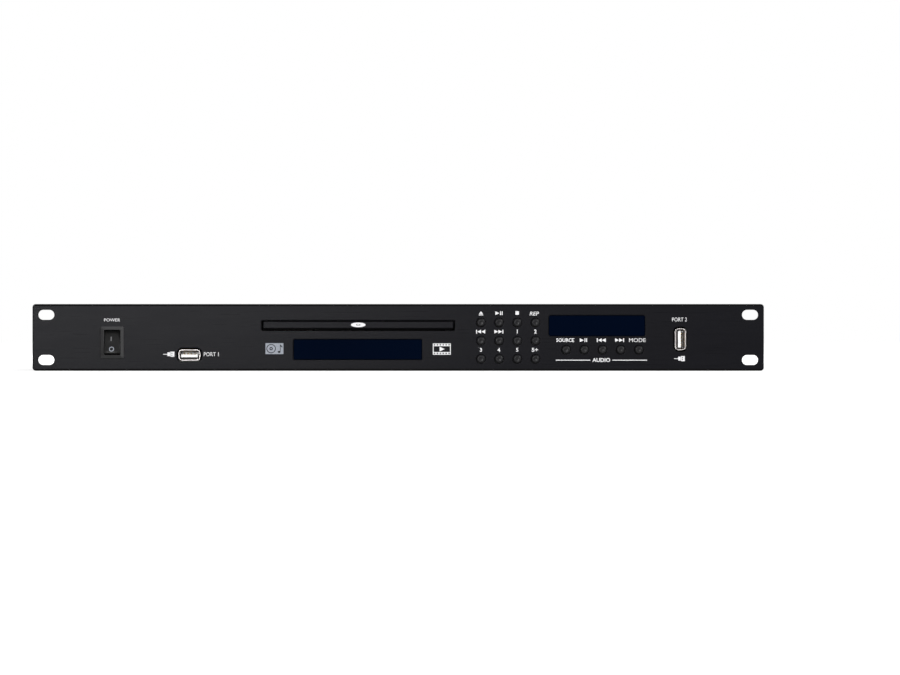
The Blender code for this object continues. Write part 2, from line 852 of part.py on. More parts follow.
def power_rocker():
    # The outline is drawn level about the pivot and then tilted so that the upper end is pressed in
    face_high = rocker_face_length * math.cos(rocker_tilt)
    face_out = rocker_crest + rocker_face_length * math.sin(rocker_tilt)
    upper = [
        (face_high, face_out),
        (rocker_half_height, 0),
        (rocker_half_height * rocker_floor_share, -rocker_floor_depth),
    ]
    level = [(0, rocker_crest)] + upper + [(-a, b) for a, b in reversed(upper)]
    outline = []
    for high, out in level:
        turned_high = high * math.cos(rocker_tilt) + out * math.sin(rocker_tilt)
        turned_out = out * math.cos(rocker_tilt) - high * math.sin(rocker_tilt)
        outline.append((switch_z + turned_high, turned_out - rocker_pivot_depth))
    half_width = rocker_well_width / 2 - seat_gap
    rocker = prism(outline, switch_x - half_width, switch_x + half_width, "x")
    trunnion = circle(trunnion_radius, small_round_facets, (switch_z, -rocker_pivot_depth))
    reach = half_width + trunnion_length
    add(rocker, prism(trunnion, switch_x - reach, switch_x + reach, "x"))
    pivot = (switch_x, switch_z, -rocker_pivot_depth)
    finish(rocker, "power_rocker", moulded_black, 0.3, 0.0, front_plane, pivot)


# USB sockets: the left one lies flat, the right one stands on its side

def usb_outline(width, height, corner, inset, centre, upright):
    if upright:
        width, height = height, width
    return rounded_rectangle(width - 2 * inset, height - 2 * inset, corner - inset, centre, 2)


def usb_shell(name, x, z, upright):
    wall = usb_shell_wall
    lip_size = (usb_lip_width, usb_lip_height, usb_lip_corner)
    tube_size = (usb_shell_width, usb_shell_height, usb_shell_corner)
    lip = usb_outline(*lip_size, 0, (x, z), upright)
    lip_inner = usb_outline(*lip_size, wall, (x, z), upright)
    tube = usb_outline(*tube_size, 0, (x, z), upright)
    tube_inner = usb_outline(*tube_size, wall, (x, z), upright)
    front = -usb_shell_recess
    neck = front - usb_lip_depth
    back = front - usb_shell_depth
    outside = [(lip, front), (tube, neck), (tube, back)]
    inside = [(tube_inner, back), (tube_inner, neck), (lip_inner, front)]
    finish(loft(outside + inside, "z", True), name, bright_steel, 0.25, 1.0, front_plane)


def usb_tongue(name, x, z, upright):
    # Drawn across and down from the socket's middle, then swapped for the socket that stands on its side
    half_width = usb_shell_width / 2 - usb_shell_wall - seat_gap
    half_height = usb_shell_height / 2 - usb_shell_wall - seat_gap
    back = -usb_shell_recess - usb_shell_depth
    block_front = back + usb_block_depth
    tongue_front = -usb_shell_recess - usb_tongue_recess
    tongue_low = -usb_tongue_offset - usb_tongue_thickness / 2
    tongue_half = usb_tongue_width / 2
    spans = (
        (-half_width, half_width, -half_height, half_height, back, block_front),
        (-tongue_half, tongue_half, tongue_low, tongue_low + usb_tongue_thickness,
         block_front - join_depth, tongue_front),
    )
    shapes = []
    for left, right, low, high, start, end in spans:
        if upright:
            left, right, low, high = low, high, left, right
        shapes.append(box((x + left, z + low, start), (x + right, z + high, end)))
    tongue, blade = shapes
    add(tongue, blade)
    finish(tongue, name, white_plastic, 0.4, 0.0, front_plane)


def usb_board_left():
    high = usb_left_z - usb_shell_height / 2 - seat_gap
    low = high - board_thickness
    front = -case_front_depth - seat_gap
    half = usb_board_width / 2
    board = box((usb_left_x - half, low, front - usb_board_depth), (usb_left_x + half, high, front))
    finish(board, "usb_board_left", board_green, 0.45, 0.0, front_plane)


def usb_board_right():
    near = usb_right_x + usb_shell_height / 2 + seat_gap
    front = -case_front_depth - seat_gap
    foot = sheet_thickness + seat_gap
    high = usb_right_z + usb_board_width / 2
    board = box((near, foot, front - usb_board_depth), (near + board_thickness, high, front))
    finish(board, "usb_board_right", board_green, 0.45, 0.0, front_plane)


# Case. In this datum, x is across, y is depth behind the panel's front face and z is height.

def standoff_places():
    places = []
    boards = (
        (main_board_edges, main_board_front_depth, main_board_rear_depth),
        (power_board_edges, power_board_front_depth, power_board_rear_depth),
    )
    for (left, right), front, rear in boards:
        for across in (left + standoff_inset, right - standoff_inset):
            places += [(across, front + standoff_inset), (across, rear - rear_standoff_inset)]
    return places


def chassis_base():
    half = base_width / 2
    inner = inner_half_width
    outline = [
        (-half, 0),
        (half, 0),
        (half, wall_high_z),
        (inner, wall_high_z),
        (inner, sheet_thickness),
        (-inner, sheet_thickness),
        (-inner, wall_high_z),
        (-half, wall_high_z),
    ]
    base = prism(outline, case_front_depth, case_rear_depth, "y")
    tab_high = wall_high_z - front_tab_from_top
    tab_depth = case_front_depth + seat_gap
    for side in (-1, 1):
        edges = sorted((side * (inner + join_depth), side * (inner - front_tab_width)))
        low = (edges[0], tab_depth, sheet_thickness - join_depth)
        add(base, box(low, (edges[1], tab_depth + sheet_thickness, tab_high)))
    for place in standoff_places():
        post = circle(standoff_radius, small_round_facets, place)
        add(base, prism(post, sheet_thickness - join_depth, sheet_thickness + standoff_height))
    left_board_low_z = usb_left_z - usb_shell_height / 2 - seat_gap - board_thickness
    for side in (-1, 1):
        across = usb_left_x + side * (usb_board_width / 2 - usb_board_standoff_inset)
        depth = case_front_depth + seat_gap + usb_board_depth - usb_board_standoff_inset
        post = circle(standoff_radius, small_round_facets, (across, depth))
        add(base, prism(post, sheet_thickness - join_depth, left_board_low_z - seat_gap))
    for index in range(vent_count):
        depth = case_rear_depth - vent_from_rear - index * vent_pitch
        low = (-half - overrun, depth - vent_width, vent_from_floor)
        cut(base, box(low, (half + overrun, depth, vent_from_floor + vent_height)))
    finish(base, "chassis_base", case_black, 0.5, 0.6, case_datum)


def top_cover():
    half = case_width / 2
    inner = half - sheet_thickness
    skirt_low_z = case_high_z - cover_skirt_height
    outline = [
        (-half, skirt_low_z),
        (-inner, skirt_low_z),
        (-inner, cover_low_z),
        (inner, cover_low_z),
        (inner, skirt_low_z),
        (half, skirt_low_z),
        (half, case_high_z),
        (-half, case_high_z),
    ]
    cover = prism(outline, case_front_depth, case_rear_depth, "y")
    finish(cover, "top_cover", case_black, 0.5, 0.6, case_datum)


def inlet_outline(width, height, chamfer):
    half = width / 2
    low = inlet_z - height / 2
    high = inlet_z + height / 2
    return [
        (inlet_x - half, low),
        (inlet_x + half, low),
        (inlet_x + half, high - chamfer),
        (inlet_x + half - chamfer, high),
        (inlet_x - half + chamfer, high),
        (inlet_x - half, high - chamfer),
    ]


def audio_places():
    middle = (audio_count - 1) / 2
    return [audio_x + (index - middle) * audio_pitch for index in range(audio_count)]


def socket_axis_z():
    return board_high_z + seat_gap + audio_body_height / 2


def rear_panel():
    half = inner_half_width - seat_gap
    front = rear_inner_depth
    low_z = sheet_thickness + seat_gap
    panel = box((-half, front, low_z), (half, case_rear_depth, wall_high_z))
    foot = box((-half, front - rear_foot_depth, low_z), (half, front + join_depth, low_z + sheet_thickness))
    add(panel, foot)
    opening = inlet_outline(
        inlet_body_width + 2 * seat_gap, inlet_body_height + 2 * seat_gap, inlet_well_chamfer
    )
    cut(panel, prism(opening, front - overrun, case_rear_depth + overrun, "y"))
    for x in audio_places():
        hole = circle(audio_collar_radius + seat_gap, round_facets, (x, socket_axis_z()))
        cut(panel, prism(hole, front - overrun, case_rear_depth + overrun, "y"))
    hole = circle(aerial_ring_radius + seat_gap, round_facets, (aerial_x, socket_axis_z()))
    cut(panel, prism(hole, front - overrun, case_rear_depth + overrun, "y"))
    finish(panel, "rear_panel", case_black, 0.5, 0.6, case_datum)


def mains_inlet():
    face = case_rear_depth + seat_gap
    back = face + inlet_flange_thickness
    centre = (inlet_x, inlet_z)
    flange = rounded_rectangle(inlet_flange_width, inlet_flange_height, inlet_flange_corner, centre)
    inlet = prism(flange, face, back, "y")
    body = inlet_outline(inlet_body_width, inlet_body_height, inlet_well_chamfer)
    add(inlet, prism(body, back - inlet_flange_thickness - inlet_body_depth, face + join_depth, "y"))
    well = inlet_outline(inlet_well_width, inlet_well_height, inlet_well_chamfer - seat_gap)
    well_end = back - inlet_well_depth
    cut(inlet, prism(well, well_end, back + overrun, "y"))
    for place, rise in ((-1, -1), (0, 1), (1, -1)):
        x = inlet_x + place * inlet_pin_spacing
        z = inlet_z + rise * inlet_pin_offset / 2
        low = (x - inlet_pin_width / 2, well_end - join_depth, z - inlet_pin_height / 2)
        high = (x + inlet_pin_width / 2, well_end + inlet_pin_length, z + inlet_pin_height / 2)
        add(inlet, box(low, high))
    finish(inlet, "mains_inlet", moulded_black, 0.45, 0.0, case_datum)


def audio_sockets():
    front = rear_inner_depth - seat_gap
    places = audio_places()
    low = (places[0] - audio_body_margin, front - audio_body_depth, board_high_z + seat_gap)
    high = (places[-1] + audio_body_margin, front, board_high_z + seat_gap + audio_body_height)
    block = box(low, high)
    for x in places:
        profile = [
            (audio_collar_radius, front - join_depth),
            (audio_collar_radius, case_rear_depth + audio_collar_height),
            (audio_ring_radius, case_rear_depth + audio_collar_height),
            (audio_ring_radius, case_rear_depth + audio_reach),
        ]
        add(block, turned(profile, round_facets, "y", (x, socket_axis_z())))
        bore = circle(audio_bore_radius, small_round_facets, (x, socket_axis_z()))
        cut(block, prism(bore, front, case_rear_depth + audio_reach + overrun, "y"))
    finish(block, "audio_sockets", brass_yellow, 0.35, 0.6, case_datum)


def aerial_socket():
    front = rear_inner_depth - seat_gap
    half = aerial_body_width / 2
    low = (aerial_x - half, front - audio_body_depth, board_high_z + seat_gap)
    socket = box(low, (aerial_x + half, front, board_high_z + seat_gap + audio_body_height))
    centre = (aerial_x, socket_axis_z())
    ring = circle(aerial_ring_radius, round_facets, centre)
    add(socket, prism(ring, front - join_depth, case_rear_depth + aerial_reach, "y"))
    bore = circle(aerial_bore_radius, small_round_facets, centre)
    cut(socket, prism(bore, front, case_rear_depth + aerial_reach + overrun, "y"))
    finish(socket, "aerial_socket", bright_steel, 0.3, 1.0, case_datum)


def main_board():
    left, right = main_board_edges
    board = box((left, main_board_front_depth, board_low_z), (right, main_board_rear_depth, board_high_z))
    finish(board, "main_board", board_green, 0.45, 0.0, case_datum)


def power_board():
    left, right = power_board_edges
    board = box((left, power_board_front_depth, board_low_z), (right, power_board_rear_depth, board_high_z))
    finish(board, "power_board", board_green, 0.45, 0.0, case_datum)


def transformer():
    low_z = board_high_z + seat_gap
    half = transformer_width / 2
    middle = power_board_rear_depth - transformer_rear_gap - transformer_depth / 2
    low = (power_board_x - half, middle - transformer_core_width / 2, low_z)
    high = (power_board_x + half, middle + transformer_core_width / 2, low_z + transformer_height)
    core = box(low, high)
    overlap = transformer_core_overlap
    centre = (power_board_x, middle)
    coil = rounded_rectangle(transformer_coil_width, transformer_depth, transformer_core_width / 2, centre)
    add(core, prism(coil, low_z + overlap, low_z + transformer_height - overlap))
    finish(core, "transformer", (0.05, 0.04, 0.03), 0.6, 0.0, case_datum)


# Tray loader. In this datum, x is across from the tray's middle, y is depth and z is height.

def tray_front():
    centre = (0, tray_front_low_z + tray_front_height / 2)
    plate = rounded_plate(
        tray_front_width,
        tray_front_height,
        tray_front_corner_radius,
        -tray_front_recess - tray_front_thickness,
        -tray_front_recess,
        tray_front_edge_radius,
        centre,
    )
    plate.data.transform(Matrix.Rotation(math.pi / 2, 4, "X"))
    finish(plate, "tray_front", panel_black, 0.45, 0.0, loader_datum)


def disc_tray():
    front = tray_front_depth
    corner = tray_corner_radius
    outline = [(-tray_half, front), (tray_half, front)]
    outline += arc((tray_half - corner, tray_length - corner), corner, 0, math.pi / 2, corner_steps)
    outline += arc((corner - tray_half, tray_length - corner), corner, math.pi / 2, math.pi, corner_steps)
    tray = prism(outline, tray_low_z, tray_high_z)
    inner = tray_half - tray_rail_width
    low = (-inner, front + tray_front_wall, tray_low_z - overrun)
    cut(tray, box(low, (inner, tray_length + overrun, tray_floor_low_z)))
    centre = (0, disc_centre_depth)
    ledge_z = tray_high_z - disc_recess_depth
    cut(tray, prism(circle(disc_recess_radius, disc_facets, centre), ledge_z, tray_high_z + overrun))
    cut(tray, prism(circle(small_disc_radius, disc_facets, centre), tray_floor_z, ledge_z + overrun))
    half = tray_window_half_width
    reach = disc_centre_depth + tray_window_reach
    corner = tray_window_corner
    window = arc(centre, half, math.pi, math.tau, 4 * corner_steps)
    window += arc((half - corner, reach - corner), corner, 0, math.pi / 2, corner_steps)
    window += arc((corner - half, reach - corner), corner, math.pi / 2, math.pi, corner_steps)
    cut(tray, prism(window, tray_low_z - overrun, tray_high_z + overrun))
    start = gear_axis_depth - rack_spare
    end = gear_axis_depth + tray_travel + rack_spare
    rack = rack_outline(rack_pitch_x, -inner - join_depth, start, end, gear_axis_depth)
    add(tray, prism(rack, tray_low_z, tray_floor_low_z + join_depth))
    finish(tray, "disc_tray", moulded_black, 0.5, 0.0, loader_datum)


def loader_frame():
    outer = tub_outer
    ledge_high = tray_low_z - seat_gap
    lip_low = tray_high_z + seat_gap
    right = [
        (outer, tub_low_z),
        (outer, tub_high_z),
        (tub_half, tub_high_z),
        (tub_half, lip_low + tub_lip_height),
        (tub_half - tub_lip_width, lip_low + tub_lip_height),
        (tub_half - tub_lip_width, lip_low),
        (tub_half, lip_low),
        (tub_half, ledge_high),
        (tub_half - tub_ledge_width, ledge_high),
        (tub_half - tub_ledge_width, ledge_high - tub_ledge_height),
        (tub_half, ledge_high - tub_ledge_height),
        (tub_half, tub_floor_z),
    ]
    outline = right + [(-x, z) for x, z in reversed(right)]
    tub = prism(outline, tub_front_depth, tub_rear_depth, "y")
    wall_half = tub_half + join_depth
    foot = tub_floor_z - join_depth
    front_end = tub_front_depth + tub_end_wall
    add(tub, box((-wall_half, tub_front_depth, foot), (wall_half, front_end, tub_front_wall_high_z)))
    rear_start = tub_rear_depth - tub_end_wall
    add(tub, box((-wall_half, rear_start, foot), (wall_half, tub_rear_depth, tub_rear_wall_high_z)))
    opening = rounded_rectangle(
        2 * tub_opening_half_width,
        tub_opening_rear_depth - tub_opening_front_depth,
        tub_opening_corner,
        (0, (tub_opening_front_depth + tub_opening_rear_depth) / 2),
    )
    cut(tub, prism(opening, tub_low_z - overrun, tub_floor_z + overrun))
    add_gear_posts(tub, foot)
    add_motor_ring(tub, foot)
    add_cam_rails(tub, foot)
    add_pivot_ears(tub, foot)
    finish(tub, "loader_frame", moulded_black, 0.55, 0.0, loader_datum)


def add_gear_posts(tub, foot):
    pin_radius = tray_gear_bore_radius - seat_gap
    posts = (
        (tray_gear_x, tray_gear_low_z - seat_gap, tray_gear_high_z - post_top_drop),
        (pulley_x, pulley_low_z - seat_gap, pinion_high_z - post_top_drop),
    )
    for x, shoulder_z, top_z in posts:
        profile = [
            (tub_boss_radius, foot),
            (post_shoulder_radius, shoulder_z),
            (pin_radius, shoulder_z),
            (pin_radius, top_z),
        ]
        add(tub, turned(profile, round_facets, "z", (x, gear_axis_depth)))


def add_motor_ring(tub, foot):
    inner = motor_radius + seat_gap
    outer = inner + motor_ring_wall
    high = tub_floor_z + motor_ring_height
    profile = [(outer, foot), (outer, high), (inner, high), (inner, foot)]
    add(tub, turned(profile, large_round_facets, "z", (motor_x, gear_axis_depth), True))


def add_cam_rails(tub, foot):
    front = cam_plate_depth - seat_gap - cam_rail_thickness
    rear = cam_plate_depth + cam_plate_thickness + seat_gap
    left = cam_pin_x - cam_travel - cam_plate_margin - cam_rail_reach / 2
    right = cam_pin_x + cam_travel + cam_plate_margin
    for depth in (front, rear):
        high = (right, depth + cam_rail_thickness, tub_floor_z + cam_rail_height)
        add(tub, box((left, depth, foot), high))


def add_pivot_ears(tub, foot):
    near = traverse_half_width + seat_gap
    bearing = circle(pivot_pin_radius + seat_gap, round_facets, (pivot_depth, pivot_z))
    for side in (-1, 1):
        edges = sorted((side * near, side * (near + pivot_ear_thickness)))
        outline = [
            (pivot_depth - pivot_ear_half_depth, foot),
            (pivot_depth + pivot_ear_half_depth, foot),
        ]
        outline += arc((pivot_depth, pivot_z), pivot_ear_above_axis, 0, math.pi, 2 * corner_steps)
        add(tub, prism(outline, edges[0], edges[1], "x"))
        cut(tub, prism(bearing, edges[0] - overrun, edges[1] + overrun, "x"))


def tray_gear():
    centre = (tray_gear_x, gear_axis_depth)
    outline = gear_outline(tray_gear_teeth, math.pi, centre)
    gear = prism(outline, tray_gear_low_z, tray_gear_high_z)
    bore = circle(tray_gear_bore_radius, round_facets, centre)
    cut(gear, prism(bore, tray_gear_low_z - overrun, tray_gear_high_z + overrun))
    origin = (tray_gear_x, gear_axis_depth, tray_gear_low_z)
    finish(gear, "tray_gear", white_plastic, 0.5, 0.0, loader_datum, origin)


def pulley_profile(radius, groove_radius):
    high = pulley_low_z + pulley_height
    return [
        (radius, pulley_low_z),
        (radius, pulley_low_z + pulley_flange_height),
        (groove_radius, pulley_low_z + pulley_flange_height),
        (groove_radius, high - pulley_flange_height),
        (radius, high - pulley_flange_height),
        (radius, high),
    ]


def pulley_gear():
    centre = (pulley_x, gear_axis_depth)
    gear = turned(pulley_profile(pulley_radius, pulley_groove_radius), large_round_facets, "z", centre)
    pinion = gear_outline(drive_pinion_teeth, math.pi / drive_pinion_teeth, centre)
    add(gear, prism(pinion, pulley_low_z + pulley_height - join_depth, pinion_high_z))
    bore = circle(tray_gear_bore_radius, round_facets, centre)
    cut(gear, prism(bore, pulley_low_z - overrun, pinion_high_z + overrun))
    origin = (pulley_x, gear_axis_depth, pulley_low_z)
    finish(gear, "pulley_gear", white_plastic, 0.5, 0.0, loader_datum, origin)


def drive_belt():
    large = pulley_groove_radius + seat_gap
    small = motor_pulley_groove_radius + seat_gap
    low = pulley_low_z + pulley_flange_height + seat_gap
    high = pulley_low_z + pulley_height - pulley_flange_height - seat_gap
    inner = belt_outline(large, small, belt_spread, 2 * corner_steps)
    outer = belt_outline(large + belt_thickness, small + belt_thickness, belt_spread, 2 * corner_steps)
    belt = loft([(inner, low), (inner, high), (outer, high), (outer, low)], "z", True)
    belt.data.transform(Matrix.Translation((pulley_x, gear_axis_depth, 0)))
    finish(belt, "drive_belt", rubber_black, 0.8, 0.0, loader_datum)


def motor_pulley():
    centre = (motor_x, gear_axis_depth)
    profile = pulley_profile(motor_pulley_radius, motor_pulley_groove_radius)
    pulley = turned(profile, round_facets, "z", centre)
    bore = circle(motor_shaft_radius + seat_gap, small_round_facets, centre)
    cut(pulley, prism(bore, pulley_low_z - overrun, pulley_low_z + pulley_height + overrun))
    origin = (motor_x, gear_axis_depth, pulley_low_z)
    finish(pulley, "motor_pulley", white_plastic, 0.5, 0.0, loader_datum, origin)


def tray_motor():
    low = tub_floor_z + seat_gap
    high = low + motor_height - motor_collar_height
    profile = [
        (motor_radius, low),
        (motor_radius, high),
        (motor_collar_radius, high),
        (motor_collar_radius, high + motor_collar_height),
        (motor_shaft_radius, high + motor_collar_height),
        (motor_shaft_radius, pulley_low_z + pulley_height),
    ]
    motor = turned(profile, large_round_facets, "z", (motor_x, gear_axis_depth))
    finish(motor, "tray_motor", bright_steel, 0.35, 1.0, loader_datum)


def clamp_bridge():
    low = tub_high_z + seat_gap
    high = low + bridge_thickness
    half = bridge_half_depth
    wall = bridge_thickness
    near = disc_centre_depth - half
    far = disc_centre_depth + half
    outline = [
        (near, low),
        (far, low),
        (far, high + bridge_rim_height),
        (far - wall, high + bridge_rim_height),
        (far - wall, high),
        (near + wall, high),
        (near + wall, high + bridge_rim_height),
        (near, high + bridge_rim_height),
    ]
    bridge = prism(outline, -tub_outer, tub_outer, "x")
    hole = circle(clamp_neck_radius + seat_gap, large_round_facets, (0, disc_centre_depth))
    cut(bridge, prism(hole, low - overrun, high + overrun))
    finish(bridge, "clamp_bridge", bright_steel, 0.4, 1.0, loader_datum)


def disc_clamp():
    bridge_high = tub_high_z + seat_gap + bridge_thickness
    plate_high = clamp_low_z + clamp_plate_thickness
    flange_low = bridge_high + seat_gap
    flange_high = flange_low + clamp_flange_thickness
    profile = [
        (clamp_recess_radius, clamp_low_z + clamp_recess_depth),
        (clamp_recess_radius, clamp_low_z),
        (clamp_plate_radius, clamp_low_z),
        (clamp_plate_radius, plate_high),
        (clamp_neck_radius, plate_high),
        (clamp_neck_radius, flange_low),
        (clamp_flange_radius, flange_low),
        (clamp_flange_radius, flange_high),
        (clamp_neck_radius, flange_high + clamp_rise),
    ]
    clamp = turned(profile, large_round_facets, "z", (0, disc_centre_depth))
    finish(clamp, "disc_clamp", moulded_black, 0.4, 0.0, loader_datum, (0, disc_centre_depth, clamp_low_z))


def cam_slider():
    # The slot leans so that moving the slider towards +X raises the pin of the traverse
    low_end = (cam_pin_x, cam_pin_z - cam_pin_drop)
    high_end = (cam_pin_x - cam_travel, cam_pin_z)
    left = high_end[0] - cam_plate_margin
    right = low_end[0] + cam_plate_margin
    high = high_end[1] + cam_pin_radius + cam_slot_gap + cam_wall
    low = tub_floor_z + seat_gap
    back = cam_plate_depth + cam_plate_thickness
    plate = box((left, cam_plate_depth, low), (right, back, high))
    radius = cam_pin_radius + cam_slot_gap
    lean = math.atan2(high_end[1] - low_end[1], high_end[0] - low_end[0])
    slot = arc(high_end, radius, lean - math.pi / 2, lean + math.pi / 2, 2 * corner_steps)
    slot += arc(low_end, radius, lean + math.pi / 2, lean + 3 * math.pi / 2, 2 * corner_steps)
    cut(plate, prism(slot, cam_plate_depth - overrun, back + overrun, "y"))
    finish(plate, "cam_slider", white_plastic, 0.5, 0.0, loader_datum, (cam_pin_x, cam_plate_depth, low))


# Traverse: the pieces are drawn level, and their datum tilts them down about the pivot

def traverse_frame():
    middle = (traverse_front_depth + traverse_rear_depth) / 2
    length = traverse_rear_depth - traverse_front_depth
    width = 2 * traverse_half_width
    plate = prism(
        rounded_rectangle(width, length, traverse_corner_radius, (0, middle)), traverse_low_z, traverse_high_z
    )
    wall = traverse_rim_width
    corner = traverse_corner_radius
    rim = rounded_rectangle(width, length, corner, (0, middle))
    rim_inner = rounded_rectangle(width - 2 * wall, length - 2 * wall, corner - wall, (0, middle))
    low, high = traverse_high_z - join_depth, traverse_high_z + traverse_rim_height
    add(plate, loft([(rim, low), (rim, high), (rim_inner, high), (rim_inner, low)], "z", True))
    window_middle = (traverse_window_front_depth + traverse_window_rear_depth) / 2
    window = rounded_rectangle(
        2 * traverse_window_half_width,
        traverse_window_rear_depth - traverse_window_front_depth,
        traverse_window_corner,
        (0, window_middle),
    )
    cut(plate, prism(window, traverse_low_z - overrun, high + overrun))
    collar = circle(spindle_collar_radius + seat_gap, round_facets, (0, disc_centre_depth))
    cut(plate, prism(collar, traverse_low_z - overrun, high + overrun))
    add_rod_blocks(plate)
    add_pivot_lugs(plate)
    pin = circle(cam_pin_radius, small_round_facets, (cam_pin_x, cam_pin_z))
    arm_half = cam_pin_radius + cam_wall / 2
    arm_rear = traverse_front_depth + 2 * cam_wall
    arm_low = (cam_pin_x - arm_half, traverse_front_depth, cam_pin_z - arm_half)
    add(plate, box(arm_low, (cam_pin_x + arm_half, arm_rear, traverse_low_z + join_depth)))
    add(plate, prism(pin, cam_plate_depth, traverse_front_depth + join_depth, "y"))
    finish_on_traverse(plate, "traverse_frame", moulded_black, 0.55, 0.0)


def finish_on_traverse(piece, name, colour, roughness, metallic, origin=None):
    pivot = (0, pivot_depth, pivot_z)
    finish(piece, name, colour, roughness, metallic, traverse_datum, origin or pivot, pivot)


def add_rod_blocks(plate):
    for x in (rod_left_x, rod_right_x):
        for depth in (rod_front_depth, rod_rear_depth - rod_block_depth):
            low = (x - rod_block_half_width, depth, rod_z - rod_radius - seat_gap - rod_block_wall)
            high = (x + rod_block_half_width, depth + rod_block_depth, traverse_low_z + join_depth)
            add(plate, box(low, high))
        bore = circle(rod_radius + seat_gap, small_round_facets, (x, rod_z))
        cut(plate, prism(bore, rod_front_depth - overrun, rod_rear_depth + overrun, "y"))
    foot = screw_z - screw_radius - seat_gap - rod_block_wall
    low = (screw_x - rod_block_half_width, rod_front_depth, foot)
    high = (screw_x + rod_block_half_width, rod_front_depth + rod_block_depth, traverse_low_z + join_depth)
    add(plate, box(low, high))
    bore = circle(screw_radius + seat_gap, small_round_facets, (screw_x, screw_z))
    cut(plate, prism(bore, rod_front_depth - overrun, rod_front_depth + rod_block_depth + overrun, "y"))


def add_pivot_lugs(plate):
    for side in (-1, 1):
        edges = sorted((side * traverse_half_width, side * (traverse_half_width - traverse_lug_width)))
        high = traverse_low_z + join_depth
        half = pivot_pin_radius + rod_block_wall
        outline = [(pivot_depth + half, high), (pivot_depth - half, high)]
        outline += arc((pivot_depth, pivot_z), half, math.pi, math.tau, 2 * corner_steps)
        add(plate, prism(outline, edges[0], edges[1], "x"))
        start = side * (traverse_half_width - traverse_lug_width / 2)
        end = side * (traverse_half_width + pivot_pin_length)
        pin = circle(pivot_pin_radius, round_facets, (pivot_depth, pivot_z))
        add(plate, prism(pin, start, end, "x"))


def spindle_motor():
    high = traverse_low_z - seat_gap
    low = high - spindle_motor_height
    profile = [
        (spindle_motor_radius, low),
        (spindle_motor_radius, high),
        (spindle_collar_radius, high),
        (spindle_collar_radius, high + spindle_collar_height),
    ]
    centre = (0, disc_centre_depth)
    motor = turned(profile, large_round_facets, "z", centre)
    bore = circle(spindle_shaft_radius + seat_gap, small_round_facets, centre)
    collar_high = high + spindle_collar_height
    cut(motor, prism(bore, collar_high - spindle_shaft_reach - seat_gap, collar_high + overrun))
    finish_on_traverse(motor, "spindle_motor", bright_steel, 0.35, 1.0)


def turntable():
    collar_high = traverse_low_z - seat_gap + spindle_collar_height
    platter_low = platter_z - platter_thickness
    ring_out = platter_radius - platter_ring_depth
    ring_in = ring_out - platter_ring_width
    profile = [
        (spindle_shaft_radius, collar_high - spindle_shaft_reach),
        (spindle_shaft_radius, collar_high + seat_gap),
        (platter_hub_radius, collar_high + seat_gap),
        (platter_hub_radius, platter_low),
        (platter_radius, platter_low),
        (platter_radius, platter_z - platter_ring_depth),
        (ring_out, platter_z),
        (ring_in, platter_z),
        (cone_low_radius, platter_z - platter_ring_depth),
        (cone_low_radius, platter_z),
        (cone_high_radius, platter_z + cone_height),
    ]
    table = turned(profile, large_round_facets, "z", (0, disc_centre_depth))
    origin = (0, disc_centre_depth, platter_z)
    finish_on_traverse(table, "turntable", moulded_black, 0.4, 0.0, origin)


def guide_rods():
    for name, x in (("guide_rod_left", rod_left_x), ("guide_rod_right", rod_right_x)):
        rod = prism(circle(rod_radius, small_round_facets, (x, rod_z)), rod_front_depth, rod_rear_depth, "y")
        finish_on_traverse(rod, name, bright_steel, 0.2, 1.0)


def sled_screw():
    end = sled_motor_depth - seat_gap
    screw = prism(circle(screw_radius, small_round_facets, (screw_x, screw_z)), rod_front_depth, end, "y")
    finish_on_traverse(screw, "sled_screw", bright_steel, 0.25, 1.0, (screw_x, rod_front_depth, screw_z))


def sled_motor():
    centre = (screw_x, screw_z)
    can = circle(sled_motor_radius, round_facets, centre)
    motor = prism(can, sled_motor_depth, sled_motor_depth + sled_motor_length, "y")
    finish_on_traverse(motor, "sled_motor", bright_steel, 0.35, 1.0)


def pickup():
    middle = pickup_middle_depth
    near = middle - pickup_half_depth
    far = middle + pickup_half_depth
    carriage_high = traverse_low_z - seat_gap
    slope = pickup_slope_width
    left = rod_left_x - pickup_bearing_margin
    right = rod_right_x + pickup_bearing_margin
    head = pickup_head_half_width
    outline = [
        (left, pickup_low_z),
        (right, pickup_low_z),
        (right, carriage_high),
        (head, carriage_high),
        (head, pickup_head_high_z - slope / 2),
        (head - slope, pickup_head_high_z),
        (slope - head, pickup_head_high_z),
        (-head, pickup_head_high_z - slope / 2),
        (-head, carriage_high),
        (left, carriage_high),
    ]
    carriage = prism(outline, near, far, "y")
    for x in (rod_left_x, rod_right_x):
        bore = circle(rod_radius + seat_gap, small_round_facets, (x, rod_z))
        cut(carriage, prism(bore, near - overrun, far + overrun, "y"))
    lens = [
        (lens_radius, pickup_head_high_z - join_depth),
        (lens_radius, pickup_head_high_z + lens_height / 2),
        (lens_radius - lens_rim, pickup_head_high_z + lens_height),
    ]
    add(carriage, turned(lens, round_facets, "z", (0, middle)))
    nut_outer = screw_x + screw_radius + seat_gap + rod_block_wall
    arm_low = (right - join_depth, middle - screw_arm_half_depth, screw_z - screw_arm_height)
    arm_high = (nut_outer, middle + screw_arm_half_depth, screw_z + screw_arm_height)
    add(carriage, box(arm_low, arm_high))
    bore = circle(screw_radius + seat_gap, small_round_facets, (screw_x, screw_z))
    cut(carriage, prism(bore, near - overrun, far + overrun, "y"))
    finish_on_traverse(carriage, "pickup", (0.25, 0.25, 0.27), 0.4, 0.8, (0, middle, rod_z))


# Build

for leftover in list(bpy.data.objects):
    bpy.data.objects.remove(leftover)

